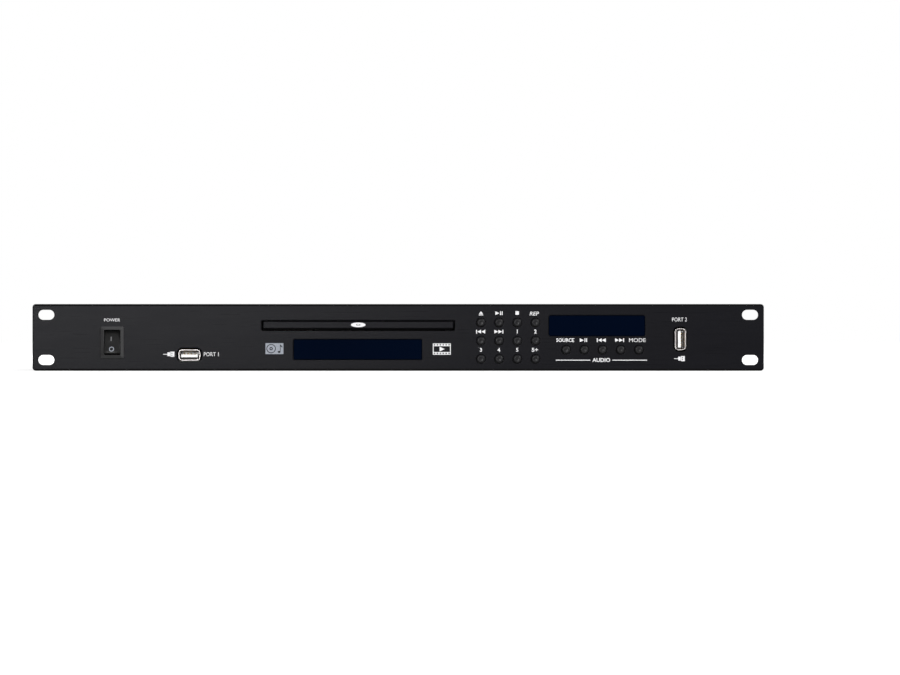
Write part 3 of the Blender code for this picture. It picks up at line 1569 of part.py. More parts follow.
front_plane = new_datum("front_plane", (0, front_y, 0), turn=(math.pi / 2, 0, 0))
case_datum = new_datum("case_datum", (0, front_y, 0))
loader_datum = new_datum("loader_datum", (tray_x, 0, 0), case_datum)
traverse_datum = new_datum("traverse_datum", (0, pivot_depth, pivot_z), loader_datum, (traverse_tilt, 0, 0))

front_panel()
left_display, right_display = display_openings()
display_window("display_window_left", left_display)
display_window("display_window_right", right_display)
display_tube("display_tube_left", left_display, True)
display_tube("display_tube_right", right_display, False)
for key_name, key_x, key_z in grid_key_places() + row_key_places():
    key(key_name, key_x, key_z)
key_board_left()
key_board_right()
power_switch_body()
power_rocker()
usb_shell("usb_shell_left", usb_left_x, usb_left_z, False)
usb_shell("usb_shell_right", usb_right_x, usb_right_z, True)
usb_tongue("usb_tongue_left", usb_left_x, usb_left_z, False)
usb_tongue("usb_tongue_right", usb_right_x, usb_right_z, True)
usb_board_left()
usb_board_right()

chassis_base()
top_cover()
rear_panel()
mains_inlet()
audio_sockets()
aerial_socket()
main_board()
power_board()
transformer()

tray_front()
disc_tray()
loader_frame()
tray_gear()
pulley_gear()
drive_belt()
motor_pulley()
tray_motor()
clamp_bridge()
disc_clamp()
cam_slider()
traverse_frame()
spindle_motor()
turntable()
guide_rods()
sled_screw()
sled_motor()
pickup()
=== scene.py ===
# Rack-mount disc player: finishes, front printing, turned keys, contacts and screws,
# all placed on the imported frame. Metres, +Z up, the front panel faces -Y.
import math

import bpy
from mathutils import Matrix, Vector


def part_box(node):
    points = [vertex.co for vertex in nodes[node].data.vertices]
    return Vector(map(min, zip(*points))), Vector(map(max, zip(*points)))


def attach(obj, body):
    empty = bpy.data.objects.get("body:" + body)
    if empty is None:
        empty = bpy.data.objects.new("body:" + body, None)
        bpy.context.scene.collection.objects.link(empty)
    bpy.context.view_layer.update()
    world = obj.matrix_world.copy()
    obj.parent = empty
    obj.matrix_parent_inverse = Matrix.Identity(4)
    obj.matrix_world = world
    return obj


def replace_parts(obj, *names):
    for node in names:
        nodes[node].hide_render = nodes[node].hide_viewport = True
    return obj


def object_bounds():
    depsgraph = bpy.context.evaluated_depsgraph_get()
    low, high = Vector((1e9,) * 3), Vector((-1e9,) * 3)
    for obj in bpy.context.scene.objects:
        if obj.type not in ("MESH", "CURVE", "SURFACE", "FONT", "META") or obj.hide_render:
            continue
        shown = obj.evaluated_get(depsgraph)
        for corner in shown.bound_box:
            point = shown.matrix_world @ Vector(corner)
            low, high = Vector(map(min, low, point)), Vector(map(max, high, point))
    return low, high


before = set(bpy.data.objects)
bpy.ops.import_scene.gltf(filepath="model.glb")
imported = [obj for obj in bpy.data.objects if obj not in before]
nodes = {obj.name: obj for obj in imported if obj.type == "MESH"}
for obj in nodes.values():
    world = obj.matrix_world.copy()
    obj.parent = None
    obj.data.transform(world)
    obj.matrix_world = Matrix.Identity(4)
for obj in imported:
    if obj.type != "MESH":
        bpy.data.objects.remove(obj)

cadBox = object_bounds()
scene = bpy.context.scene
print("frame loaded,", len(nodes), "nodes")

# Camera: level with the panel, far enough back to flatten the view
camera = {"distance": 2.5, "aimX": 0.0342, "aimZ": 0.02194, "frameWidth": 0.5937, "sensor": 36.0,
          "clipEnd": 60.0}
panelLow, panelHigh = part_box("front_panel")
panelFace = panelLow.y

bpy.ops.object.camera_add(
    location=(camera["aimX"], panelFace - camera["distance"], camera["aimZ"]),
    rotation=(math.pi / 2, 0, 0),
)
lookout = bpy.context.active_object
lookout.name = "lookout"
lookout.data.sensor_width = camera["sensor"]
lookout.data.lens = camera["sensor"] * camera["distance"] / camera["frameWidth"]
lookout.data.clip_end = camera["clipEnd"]
scene.camera = lookout


# Selection and placing helpers

picking = {"near": 1e-6, "mergeGap": 1e-7, "facing": 0.9}


def clearSelection():
    if bpy.context.mode != "OBJECT":
        bpy.ops.object.mode_set(mode="OBJECT")
    bpy.ops.object.select_all(action="DESELECT")


def activate(piece):
    clearSelection()
    piece.select_set(True)
    bpy.context.view_layer.objects.active = piece


def settle(piece):
    # the place goes into the mesh, as a node's does
    activate(piece)
    bpy.ops.object.transform_apply(location=True, rotation=True, scale=True)


def pickFaces(piece, test):
    activate(piece)
    bpy.ops.object.mode_set(mode="EDIT")
    bpy.ops.mesh.select_mode(type="FACE")
    bpy.ops.mesh.select_all(action="DESELECT")
    bpy.ops.object.mode_set(mode="OBJECT")
    for face in piece.data.polygons:
        face.select = test(face)
    bpy.ops.object.mode_set(mode="EDIT")


def pickPoints(piece, test):
    activate(piece)
    bpy.ops.object.mode_set(mode="EDIT")
    bpy.ops.mesh.select_mode(type="VERT")
    bpy.ops.mesh.select_all(action="DESELECT")
    bpy.ops.object.mode_set(mode="OBJECT")
    for point in piece.data.vertices:
        point.select = test(point.co)
    bpy.ops.object.mode_set(mode="EDIT")


def finishModifiers(piece):
    activate(piece)
    for modifier in list(piece.modifiers):
        bpy.ops.object.modifier_apply(modifier=modifier.name)


def closeUp(piece, smoothAngle=None):
    activate(piece)
    bpy.ops.object.mode_set(mode="EDIT")
    bpy.ops.mesh.select_all(action="SELECT")
    bpy.ops.mesh.remove_doubles(threshold=picking["mergeGap"])
    bpy.ops.mesh.normals_make_consistent(inside=False)
    bpy.ops.object.mode_set(mode="OBJECT")
    if smoothAngle:
        bpy.ops.object.shade_smooth_by_angle(angle=math.radians(smoothAngle))


def copyOf(master, name):
    activate(master)
    bpy.ops.object.duplicate(linked=False)
    piece = bpy.context.active_object
    piece.name = name
    return piece


def wear(piece, finish, body):
    piece.data.materials.clear()
    piece.data.materials.append(finishes[finish])
    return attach(piece, body)


# Shader groups shared by the finishes

grainChoices = {"fineDetail": 3.0, "patchDetail": 4.0}
edgeChoices = {"samples": 6, "flat": 0.985, "sharp": 0.8, "patchFrom": 0.4, "patchTo": 0.65, "detail": 3.0}


def startGroup(name, inputs, outputs):
    group = bpy.data.node_groups.new(name, "ShaderNodeTree")
    for label, kind, start in inputs:
        group.interface.new_socket(label, in_out="INPUT", socket_type=kind).default_value = start
    for label in outputs:
        kind = "NodeSocketVector" if "Normal" in label else "NodeSocketFloat"
        group.interface.new_socket(label, in_out="OUTPUT", socket_type=kind)
    return group, group.nodes.new("NodeGroupInput"), group.nodes.new("NodeGroupOutput")


def place(tree, kind, spot, **choices):
    node = tree.nodes.new(kind)
    node.location = spot
    for choice, value in choices.items():
        setattr(node, choice, value)
    return node


def buildGrainGroup():
    group, given, result = startGroup(
        "surfaceGrain",
        (
            ("Fine Scale", "NodeSocketFloat", 1500.0),
            ("Patch Scale", "NodeSocketFloat", 25.0),
            ("Stretch", "NodeSocketVector", (1.0, 1.0, 1.0)),
        ),
        ("Fine", "Patches"),
    )
    coords = place(group, "ShaderNodeTexCoord", (-700, 0))
    stretch = place(group, "ShaderNodeMapping", (-500, 0))
    fine = place(group, "ShaderNodeTexNoise", (-250, 150))
    fine.inputs["Detail"].default_value = grainChoices["fineDetail"]
    patches = place(group, "ShaderNodeTexNoise", (-250, -150))
    patches.inputs["Detail"].default_value = grainChoices["patchDetail"]
    links = group.links
    links.new(coords.outputs["Object"], stretch.inputs["Vector"])
    links.new(given.outputs["Stretch"], stretch.inputs["Scale"])
    links.new(given.outputs["Fine Scale"], fine.inputs["Scale"])
    links.new(given.outputs["Patch Scale"], patches.inputs["Scale"])
    for noise, label in ((fine, "Fine"), (patches, "Patches")):
        links.new(stretch.outputs["Vector"], noise.inputs["Vector"])
        links.new(noise.outputs["Fac"], result.inputs[label])
    return group


def buildEdgeGroup():
    # mask of the rounded edges: rubbed wear on most finishes, painted shade on the panel and the tray face
    group, given, result = startGroup(
        "edgeWearAndShade",
        (
            ("Radius", "NodeSocketFloat", 0.0004),
            ("Breakup Scale", "NodeSocketFloat", 300.0),
            ("Solid", "NodeSocketFloat", 0.0),
        ),
        ("Mask", "Round Normal"),
    )
    rounded = place(group, "ShaderNodeBevel", (-600, 0), samples=edgeChoices["samples"])
    surface = place(group, "ShaderNodeNewGeometry", (-600, -200))
    meet = place(group, "ShaderNodeVectorMath", (-400, -100), operation="DOT_PRODUCT")
    spread = place(group, "ShaderNodeMapRange", (-200, -100))
    spread.inputs["From Min"].default_value = edgeChoices["flat"]
    spread.inputs["From Max"].default_value = edgeChoices["sharp"]
    coords = place(group, "ShaderNodeTexCoord", (-600, -400))
    noise = place(group, "ShaderNodeTexNoise", (-400, -400))
    noise.inputs["Detail"].default_value = edgeChoices["detail"]
    patchy = place(group, "ShaderNodeMapRange", (-200, -400))
    patchy.inputs["From Min"].default_value = edgeChoices["patchFrom"]
    patchy.inputs["From Max"].default_value = edgeChoices["patchTo"]
    fuller = place(group, "ShaderNodeMath", (-100, -400), operation="MAXIMUM")
    both = place(group, "ShaderNodeMath", (0, -200), operation="MULTIPLY")
    links = group.links
    links.new(given.outputs["Radius"], rounded.inputs["Radius"])
    links.new(rounded.outputs["Normal"], meet.inputs[0])
    links.new(surface.outputs["Normal"], meet.inputs[1])
    links.new(meet.outputs["Value"], spread.inputs["Value"])
    links.new(coords.outputs["Object"], noise.inputs["Vector"])
    links.new(given.outputs["Breakup Scale"], noise.inputs["Scale"])
    links.new(noise.outputs["Fac"], patchy.inputs["Value"])
    links.new(patchy.outputs["Result"], fuller.inputs[0])
    links.new(given.outputs["Solid"], fuller.inputs[1])
    links.new(spread.outputs["Result"], both.inputs[0])
    links.new(fuller.outputs["Value"], both.inputs[1])
    links.new(both.outputs["Value"], result.inputs["Mask"])
    links.new(rounded.outputs["Normal"], result.inputs["Round Normal"])
    return group


def buildRegionGroup():
    group, given, result = startGroup(
        "insideBox",
        (("Low", "NodeSocketVector", (0.0, 0.0, 0.0)), ("High", "NodeSocketVector", (1.0, 1.0, 1.0))),
        ("Mask",),
    )
    links = group.links
    coords = place(group, "ShaderNodeTexCoord", (-900, 0))
    masks = []
    for row, (upper, lower) in enumerate(((coords.outputs["Object"], given.outputs["Low"]),
                                          (given.outputs["High"], coords.outputs["Object"]))):
        gap = place(group, "ShaderNodeVectorMath", (-700, -200 * row), operation="SUBTRACT")
        links.new(upper, gap.inputs[0])
        links.new(lower, gap.inputs[1])
        parts = place(group, "ShaderNodeSeparateXYZ", (-500, -200 * row))
        links.new(gap.outputs["Vector"], parts.inputs["Vector"])
        least = None
        for axis in "XYZ":
            if least is None:
                least = parts.outputs[axis]
                continue
            smaller = place(group, "ShaderNodeMath", (-300, -200 * row), operation="MINIMUM")
            links.new(least, smaller.inputs[0])
            links.new(parts.outputs[axis], smaller.inputs[1])
            least = smaller.outputs["Value"]
        masks.append(least)
    smaller = place(group, "ShaderNodeMath", (-100, 0), operation="MINIMUM")
    links.new(masks[0], smaller.inputs[0])
    links.new(masks[1], smaller.inputs[1])
    inside = place(group, "ShaderNodeMath", (50, 0), operation="GREATER_THAN")
    inside.inputs[1].default_value = 0.0
    links.new(smaller.outputs["Value"], inside.inputs[0])
    links.new(inside.outputs["Value"], result.inputs["Mask"])
    return group


grainGroup = buildGrainGroup()
edgeGroup = buildEdgeGroup()
regionGroup = buildRegionGroup()


# Finishes

def feed(tree, source, socket):
    if isinstance(source, bpy.types.NodeSocket):
        tree.links.new(source, socket)
    elif socket.type == "RGBA":
        socket.default_value = (*source, 1.0)
    else:
        socket.default_value = source


def mixed(tree, share, first, second, kind="RGBA"):
    mix = place(tree, "ShaderNodeMix", (0, 0), data_type=kind)
    sockets = [s for s in mix.inputs if s.enabled]
    for socket, source in zip(sockets, (share, first, second)):
        feed(tree, source, socket)
    return next(s for s in mix.outputs if s.enabled)


def placeGroup(tree, group, spot, **values):
    node = place(tree, "ShaderNodeGroup", spot, node_tree=group)
    for label, value in values.items():
        node.inputs[label.replace("_", " ")].default_value = value
    return node


def stretched(tree, source, low, high, inLow=0.3, inHigh=0.7):
    spread = place(tree, "ShaderNodeMapRange", (-300, -200))
    for label, value in (("From Min", inLow), ("From Max", inHigh), ("To Min", low), ("To Max", high)):
        spread.inputs[label].default_value = value
    tree.links.new(source, spread.inputs["Value"])
    return spread.outputs["Result"]


def makeFinish(name, colour, second, edge, rough, metal=0.0, level=0.5, fine=1500.0, patch=25.0,
               stretch=(1.0, 1.0, 1.0), bump=0.2, depth=0.00002, radius=0.0003, solid=0.0, parts=()):
    material = bpy.data.materials.new(name)
    material.use_nodes = True
    tree = material.node_tree
    shader = tree.nodes["Principled BSDF"]
    grain = placeGroup(tree, grainGroup, (-900, 0), Fine_Scale=fine, Patch_Scale=patch, Stretch=stretch)
    wornAndShadedEdge = placeGroup(tree, edgeGroup, (-900, -300), Radius=radius, Solid=solid)
    base = mixed(tree, stretched(tree, grain.outputs["Patches"], 0.0, 1.0), colour, second)
    # edge colour: lighter rubbed wear on most finishes; a darker edge colour, solid all along, is painted
    # shade on the rounded edges
    base = mixed(tree, wornAndShadedEdge.outputs["Mask"], base, edge)
    roughness = stretched(tree, grain.outputs["Fine"], *rough)
    metallic = metal
    for part in parts:
        mask = placeGroup(tree, regionGroup, (-900, -600), Low=part["low"], High=part["high"])
        share = mask.outputs["Mask"]
        base = mixed(tree, share, base, part["colour"])
        roughness = mixed(tree, share, roughness, part["rough"], "FLOAT")
        metallic = mixed(tree, share, metallic, part["metal"], "FLOAT")
    relief = place(tree, "ShaderNodeBump", (-200, -400))
    relief.inputs["Strength"].default_value = bump
    relief.inputs["Distance"].default_value = depth
    tree.links.new(grain.outputs["Fine"], relief.inputs["Height"])
    tree.links.new(wornAndShadedEdge.outputs["Round Normal"], relief.inputs["Normal"])
    feed(tree, base, shader.inputs["Base Color"])
    feed(tree, roughness, shader.inputs["Roughness"])
    feed(tree, metallic, shader.inputs["Metallic"])
    tree.links.new(relief.outputs["Normal"], shader.inputs["Normal"])
    shader.inputs["Specular IOR Level"].default_value = level
    return material


def boxPart(low, high, colour, rough, metal=0.0):
    return {"low": tuple(low), "high": tuple(high), "colour": colour, "rough": rough, "metal": metal}


steelGrey = (0.55, 0.55, 0.56)
inletLow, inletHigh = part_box("mains_inlet")
inletPin = {"pitch": 0.007, "rise": 0.0015, "halfWidth": 0.0011, "halfHeight": 0.0021, "wellDepth": 0.0142,
            "colour": (0.7, 0.68, 0.6), "rough": 0.28}


def inletPins():
    # the three metal pins in the inlet's well
    middleX = (inletLow.x + inletHigh.x) / 2
    middleZ = (inletLow.z + inletHigh.z) / 2
    start = inletHigh.y - inletPin["wellDepth"]
    pins = []
    for across, rise in ((-1, -1), (0, 1), (1, -1)):
        x = middleX + across * inletPin["pitch"]
        z = middleZ + rise * inletPin["rise"]
        low = (x - inletPin["halfWidth"], start, z - inletPin["halfHeight"])
        high = (x + inletPin["halfWidth"], 1, z + inletPin["halfHeight"])
        pins.append(boxPart(low, high, inletPin["colour"], inletPin["rough"], 1.0))
    return tuple(pins)


regionChoices = {
    "panelShadeLine": 0.0013,      # painted shade: a dark line along the panel's long edges
    # painted shade: dark lines along the tray face's top and bottom
    "trayShadeLine": 0.0004,
    "trayShadeDepth": 0.0015,        # painted shade: the tray's front, behind its panel, made black
    "tabs": 0.0071,           # the switch's metal tabs
    "coreHalf": 0.0071,       # half the transformer's steel core, front to back
    "keySwitches": 0.00161,   # the key boards' thickness, past which their switches are black
    # colour and roughness of the painted shade strips
    "shadeBlack": (0.0005, 0.0005, 0.0006),
    "shadeRough": 0.7,
}
switchLow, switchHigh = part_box("power_switch_body")
trayFaceLow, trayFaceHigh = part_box("tray_front")
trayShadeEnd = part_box("disc_tray")[0].y + regionChoices["trayShadeDepth"]
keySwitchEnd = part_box("key_board_left")[1].y - regionChoices["keySwitches"]
switchTabs = switchHigh.y - regionChoices["tabs"]
coreLow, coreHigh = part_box("transformer")
coreMiddle = (coreLow.y + coreHigh.y) / 2


def shadeLines(low, high, width):
    # painted shade: a dark strip along the top and the bottom of a face
    look = (regionChoices["shadeBlack"], regionChoices["shadeRough"])
    return (boxPart((-1, -1, high.z - width), (1, 1, 1), *look),
            boxPart((-1, -1, -1), (1, 1, low.z + width), *look))


finishChoices = {
    "panelPaint": dict(colour=(0.0036, 0.0036, 0.0052), second=(0.0050, 0.0050, 0.0068),
                       edge=(0.0010, 0.0010, 0.0010),
                       rough=(0.26, 0.36), level=0.06, fine=900.0, patch=60.0, stretch=(0.04, 1.0, 1.0),
                       # painted shade: the darker edge colour, solid all along the rounded edges, and dark
                       # strips along the top and bottom
                       bump=0.15, radius=0.0009, solid=1.0,
                       parts=shadeLines(panelLow, panelHigh, regionChoices["panelShadeLine"])),
    "casePaint": dict(colour=(0.0135, 0.0135, 0.0145), second=(0.0160, 0.0160, 0.0170),
                      edge=(0.045, 0.045, 0.045),
                      rough=(0.68, 0.85), level=0.1, fine=1400.0, patch=30.0, bump=0.6, depth=0.00005),
    "trayFacePaint": dict(colour=(0.0038, 0.0038, 0.0054), second=(0.0052, 0.0052, 0.0070),
                          edge=(0.0010, 0.0010, 0.0010),
                          rough=(0.26, 0.36), level=0.06, fine=900.0, stretch=(0.05, 1.0, 1.0),
                          # painted shade: the darker edge colour, solid all along the rounded edges, and dark
                          # strips along the top and bottom
                          bump=0.15, solid=1.0,
                          parts=shadeLines(trayFaceLow, trayFaceHigh, regionChoices["trayShadeLine"])),
    "blackPlastic": dict(colour=(0.014, 0.014, 0.015), second=(0.02, 0.02, 0.021), edge=(0.05, 0.05, 0.05),
                         rough=(0.4, 0.6), level=0.15, fine=2200.0, bump=0.4),
    "trayPlastic": dict(colour=(0.014, 0.014, 0.015), second=(0.02, 0.02, 0.021), edge=(0.03, 0.03, 0.03),
                        rough=(0.4, 0.6), level=0.15, fine=2200.0, bump=0.4,
                        # painted shade: the tray's front behind its panel is black, where the gap round the
                        # tray face lies in shade
                        parts=(boxPart((-1, -1, -1), (1, trayShadeEnd, 1), regionChoices["shadeBlack"], 0.8),)),
    "switchPlastic": dict(colour=(0.040, 0.040, 0.041), second=(0.046, 0.046, 0.047), edge=(0.05, 0.05, 0.05),
                          rough=(0.28, 0.4), level=0.06, fine=2600.0, bump=0.3, radius=0.0002,
                          parts=(boxPart((-1, switchTabs, -1), (1, 1, 1), steelGrey, 0.3, 1.0),)),
    "rockerPlastic": dict(colour=(0.0085, 0.0085, 0.0085), second=(0.0115, 0.0115, 0.0115),
                          edge=(0.02, 0.02, 0.02),
                          rough=(0.25, 0.36), level=0.1, fine=2600.0, bump=0.15, radius=0.0003),
    "keyPlastic": dict(colour=(0.0075, 0.0075, 0.0085), second=(0.0100, 0.0100, 0.0112),
                       edge=(0.02, 0.02, 0.022),
                       rough=(0.26, 0.34), level=0.12, fine=3000.0, bump=0.12, radius=0.0001),
    "windowAcrylic": dict(colour=(0.0001, 0.0019, 0.0082), second=(0.0002, 0.0023, 0.0094),
                          edge=(0.001, 0.003, 0.009),
                          rough=(0.05, 0.1), level=0.008, fine=500.0, patch=15.0, bump=0.05, radius=0.0002),
    "displayGlass": dict(colour=(0.01, 0.018, 0.02), second=(0.014, 0.022, 0.024), edge=(0.1, 0.11, 0.11),
                         rough=(0.08, 0.15), level=0.5, fine=700.0, bump=0.05, radius=0.0002),
    "boardMask": dict(colour=(0.012, 0.085, 0.03), second=(0.018, 0.12, 0.045), edge=(0.3, 0.26, 0.14),
                      rough=(0.3, 0.45), level=0.5, fine=2500.0, patch=120.0, bump=0.2, radius=0.0001),
    "darkBoardMask": dict(colour=(0.004, 0.005, 0.004), second=(0.006, 0.008, 0.006), edge=(0.02, 0.02, 0.02),
                          rough=(0.3, 0.45), level=0.2, fine=2500.0, patch=120.0, bump=0.2, radius=0.0001),
    "keyBoardMask": dict(colour=(0.012, 0.085, 0.03), second=(0.018, 0.12, 0.045), edge=(0.2, 0.2, 0.2),
                         rough=(0.3, 0.45), level=0.5, fine=2500.0, patch=120.0, bump=0.2, radius=0.0001,
                         parts=(boxPart((-1, -1, -1), (1, keySwitchEnd, 1), (0.02, 0.02, 0.02), 0.45),)),
    "whitePlastic": dict(colour=(0.8, 0.8, 0.79), second=(0.85, 0.85, 0.84), edge=(0.87, 0.87, 0.86),
                         rough=(0.35, 0.5), level=0.5, fine=2200.0, bump=0.2),
    "gearPlastic": dict(colour=(0.62, 0.61, 0.55), second=(0.7, 0.69, 0.63), edge=(0.75, 0.74, 0.68),
                        rough=(0.35, 0.5), level=0.5, fine=2200.0, bump=0.25, radius=0.0001),
    "brightSteel": dict(colour=(0.62, 0.62, 0.6), second=(0.72, 0.71, 0.69), edge=(0.85, 0.85, 0.83),
                        rough=(0.18, 0.3), metal=1.0, fine=2500.0, patch=200.0, bump=0.1, radius=0.0001),
    "shellSteel": dict(colour=(0.36, 0.34, 0.34), second=(0.46, 0.44, 0.43), edge=(0.6, 0.58, 0.57),
                       rough=(0.3, 0.45), metal=1.0, fine=2500.0, patch=200.0, bump=0.1, radius=0.0001),
    "sheetSteel": dict(colour=(0.5, 0.51, 0.51), second=(0.6, 0.6, 0.6), edge=(0.75, 0.75, 0.74),
                       rough=(0.3, 0.48), metal=1.0, fine=1800.0, patch=90.0,
                       stretch=(0.1, 1.0, 1.0), bump=0.2),
    "motorCan": dict(colour=(0.5, 0.5, 0.5), second=(0.58, 0.58, 0.58), edge=(0.75, 0.75, 0.75),
                     rough=(0.22, 0.36), metal=1.0, fine=1800.0, patch=60.0,
                     stretch=(1.0, 1.0, 0.1), bump=0.12),
    "diecast": dict(colour=(0.3, 0.3, 0.31), second=(0.38, 0.38, 0.39), edge=(0.6, 0.6, 0.6),
                    rough=(0.4, 0.55), metal=0.9, fine=2000.0, patch=150.0, bump=0.35),
    "socketNickel": dict(colour=(0.6, 0.58, 0.52), second=(0.68, 0.66, 0.6), edge=(0.85, 0.84, 0.8),
                         rough=(0.2, 0.32), metal=1.0, fine=2500.0, bump=0.1, radius=0.0002),
    "socketYellow": dict(colour=(0.75, 0.5, 0.02), second=(0.8, 0.56, 0.04), edge=(0.85, 0.65, 0.15),
                         rough=(0.3, 0.45), fine=2500.0, bump=0.15, radius=0.0001),
    "socketWhite": dict(colour=(0.72, 0.72, 0.7), second=(0.78, 0.78, 0.76), edge=(0.82, 0.82, 0.8),
                        rough=(0.3, 0.45), fine=2500.0, bump=0.15, radius=0.0001),
    "socketRed": dict(colour=(0.5, 0.015, 0.012), second=(0.58, 0.025, 0.02), edge=(0.7, 0.1, 0.08),
                      rough=(0.3, 0.45), fine=2500.0, bump=0.15, radius=0.0001),
    "inletPlastic": dict(colour=(0.012, 0.012, 0.013), second=(0.017, 0.017, 0.018), edge=(0.05, 0.05, 0.05),
                         rough=(0.4, 0.55), level=0.2, fine=2200.0, bump=0.4, parts=inletPins()),
    "beltRubber": dict(colour=(0.012, 0.012, 0.012), second=(0.018, 0.018, 0.018), edge=(0.03, 0.03, 0.03),
                       rough=(0.6, 0.8), level=0.3, fine=3500.0, bump=0.3),
    "whiteInk": dict(colour=(0.72, 0.72, 0.73), second=(0.8, 0.8, 0.81), edge=(0.76, 0.76, 0.77),
                     rough=(0.45, 0.6), level=0.2, fine=5000.0, patch=900.0, bump=0.1, radius=0.00002),
    "greyInk": dict(colour=(0.25, 0.27, 0.31), second=(0.31, 0.33, 0.37), edge=(0.28, 0.3, 0.34),
                    rough=(0.45, 0.6), level=0.2, fine=5000.0, patch=900.0, bump=0.1, radius=0.00002),
    # painted shade: a darkened copy of the print ink, for the ON mark on the rocker's pressed-in upper end
    "shadedInk": dict(colour=(0.11, 0.11, 0.115), second=(0.14, 0.14, 0.145), edge=(0.12, 0.12, 0.125),
                   rough=(0.45, 0.6), level=0.2, fine=5000.0, patch=900.0, bump=0.1, radius=0.00002),
    "contactGold": dict(colour=(0.75, 0.55, 0.25), second=(0.82, 0.62, 0.3), edge=(0.9, 0.75, 0.45),
                        rough=(0.2, 0.3), metal=1.0, fine=3500.0, bump=0.1, radius=0.0001),
    "screwSteel": dict(colour=(0.02, 0.02, 0.021), second=(0.03, 0.03, 0.03), edge=(0.25, 0.25, 0.25),
                       rough=(0.28, 0.42), metal=0.6, fine=3000.0, bump=0.15, radius=0.0002),
    "transformerCore": dict(colour=(0.62, 0.45, 0.08), second=(0.7, 0.52, 0.1), edge=(0.75, 0.6, 0.2),
                            rough=(0.35, 0.5), level=0.5, fine=1500.0, patch=150.0, bump=0.2,
                            parts=(boxPart((-1, coreMiddle - regionChoices["coreHalf"], -1),
                                           (1, coreMiddle + regionChoices["coreHalf"], 1),
                                           (0.12, 0.12, 0.125), 0.5, 0.7),)),
}

finishes = {name: makeFinish(name, **choices) for name, choices in finishChoices.items()}
print("finishes made,", len(finishes))

nodeFinishes = {
    "front_panel": "panelPaint",
    "top_cover": "casePaint", "chassis_base": "casePaint", "rear_panel": "casePaint",
    "tray_front": "trayFacePaint", "disc_tray": "trayPlastic", "loader_frame": "blackPlastic",
    "power_switch_body": "switchPlastic", "power_rocker": "rockerPlastic",
    "display_window_left": "windowAcrylic", "display_window_right": "windowAcrylic",
    "display_tube_left": "displayGlass", "display_tube_right": "displayGlass",
    "key_board_left": "keyBoardMask", "key_board_right": "keyBoardMask",
    "main_board": "boardMask", "power_board": "boardMask",
    "usb_board_left": "darkBoardMask", "usb_board_right": "darkBoardMask",
    "usb_shell_left": "shellSteel", "usb_shell_right": "shellSteel",
    "usb_tongue_left": "whitePlastic", "usb_tongue_right": "whitePlastic",
    "mains_inlet": "inletPlastic", "audio_sockets": "blackPlastic", "aerial_socket": "socketNickel",
    "transformer": "transformerCore",
    "tray_gear": "gearPlastic", "pulley_gear": "gearPlastic", "cam_slider": "gearPlastic",
    "motor_pulley": "gearPlastic", "drive_belt": "beltRubber",
    "tray_motor": "motorCan", "spindle_motor": "motorCan", "sled_motor": "motorCan",
    "clamp_bridge": "sheetSteel", "disc_clamp": "blackPlastic", "traverse_frame": "blackPlastic",
    "turntable": "blackPlastic", "guide_rod_left": "brightSteel", "guide_rod_right": "brightSteel",
    "sled_screw": "brightSteel", "pickup": "diecast",
}
for name, node in nodes.items():
    finish = nodeFinishes.get(name, "keyPlastic")
    for seat in node.material_slots:
        seat.material = finishes[finish]


# Key caps: one turned cap with a soft shoulder and a shallow dish, copied for each key

keyCap = {"sides": 36, "topShare": 0.75, "skirtThick": 0.0007, "shoulderSteps": 6, "shoulder": 0.001,
          "dishRadius": 0.0011, "dishDrop": 0.00012, "dishShares": ((0.0, 0.3), (0.5, 0.75), (0.85, 1.0)),
          "smooth": 40}


def modelKeyCap(low, high):
    skirt = (high.x - low.x) / 2
    radius = skirt * keyCap["topShare"]
    centre = Vector(((low.x + high.x) / 2, 0, (low.z + high.z) / 2))
    thick = keyCap["skirtThick"]
    bpy.ops.mesh.primitive_cylinder_add(
        vertices=keyCap["sides"], radius=skirt, depth=thick,
        location=(centre.x, high.y - thick / 2, centre.z), rotation=(math.pi / 2, 0, 0),
    )
    cap = bpy.context.active_object
    cap.name = "keyCapMaster"
    settle(cap)
    pickFaces(cap, lambda face: face.normal.y < -picking["facing"])
    bpy.ops.mesh.inset(thickness=skirt - radius)
    reach = low.y + keyCap["shoulder"] - (high.y - thick)
    bpy.ops.mesh.extrude_region_move(TRANSFORM_OT_translate={"value": (0, reach, 0)})
    steps = keyCap["shoulderSteps"]
    drop = keyCap["shoulder"]
    wide = radius
    for step in range(1, steps + 1):
        turn = math.pi / 2 * step / steps
        back = math.pi / 2 * (step - 1) / steps
        forward = -drop * (math.sin(turn) - math.sin(back))
        narrow = radius - drop * (1 - math.cos(turn))
        bpy.ops.mesh.extrude_region_move(TRANSFORM_OT_translate={"value": (0, forward, 0)})
        size = narrow / wide
        bpy.ops.transform.resize(value=(size, 1, size), center_override=(centre.x, 0, centre.z))
        wide = narrow
    for share, sink in keyCap["dishShares"]:
        narrow = keyCap["dishRadius"] * (1 - share)
        bpy.ops.mesh.inset(thickness=wide - narrow)
        bpy.ops.transform.translate(value=(0, keyCap["dishDrop"] * sink, 0))
        wide = narrow
    closeUp(cap, keyCap["smooth"])
    return cap


keyNodes = sorted(name for name in nodes if name.startswith("key_") and not name.startswith("key_board"))
firstLow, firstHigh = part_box(keyNodes[0])
capMaster = modelKeyCap(firstLow, firstHigh)
for name in keyNodes:
    low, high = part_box(name)
    cap = copyOf(capMaster, "cap_" + name[4:])
    cap.location = low - firstLow
    settle(cap)
    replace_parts(wear(cap, "keyPlastic", name), name)
bpy.data.objects.remove(capMaster)
print("key caps made,", len(keyNodes))


# Printing on the panel: letters and signs, each a thin closed layer of ink

ink = {"thickness": 0.00004, "curveSteps": 3, "extrude": 0.05}


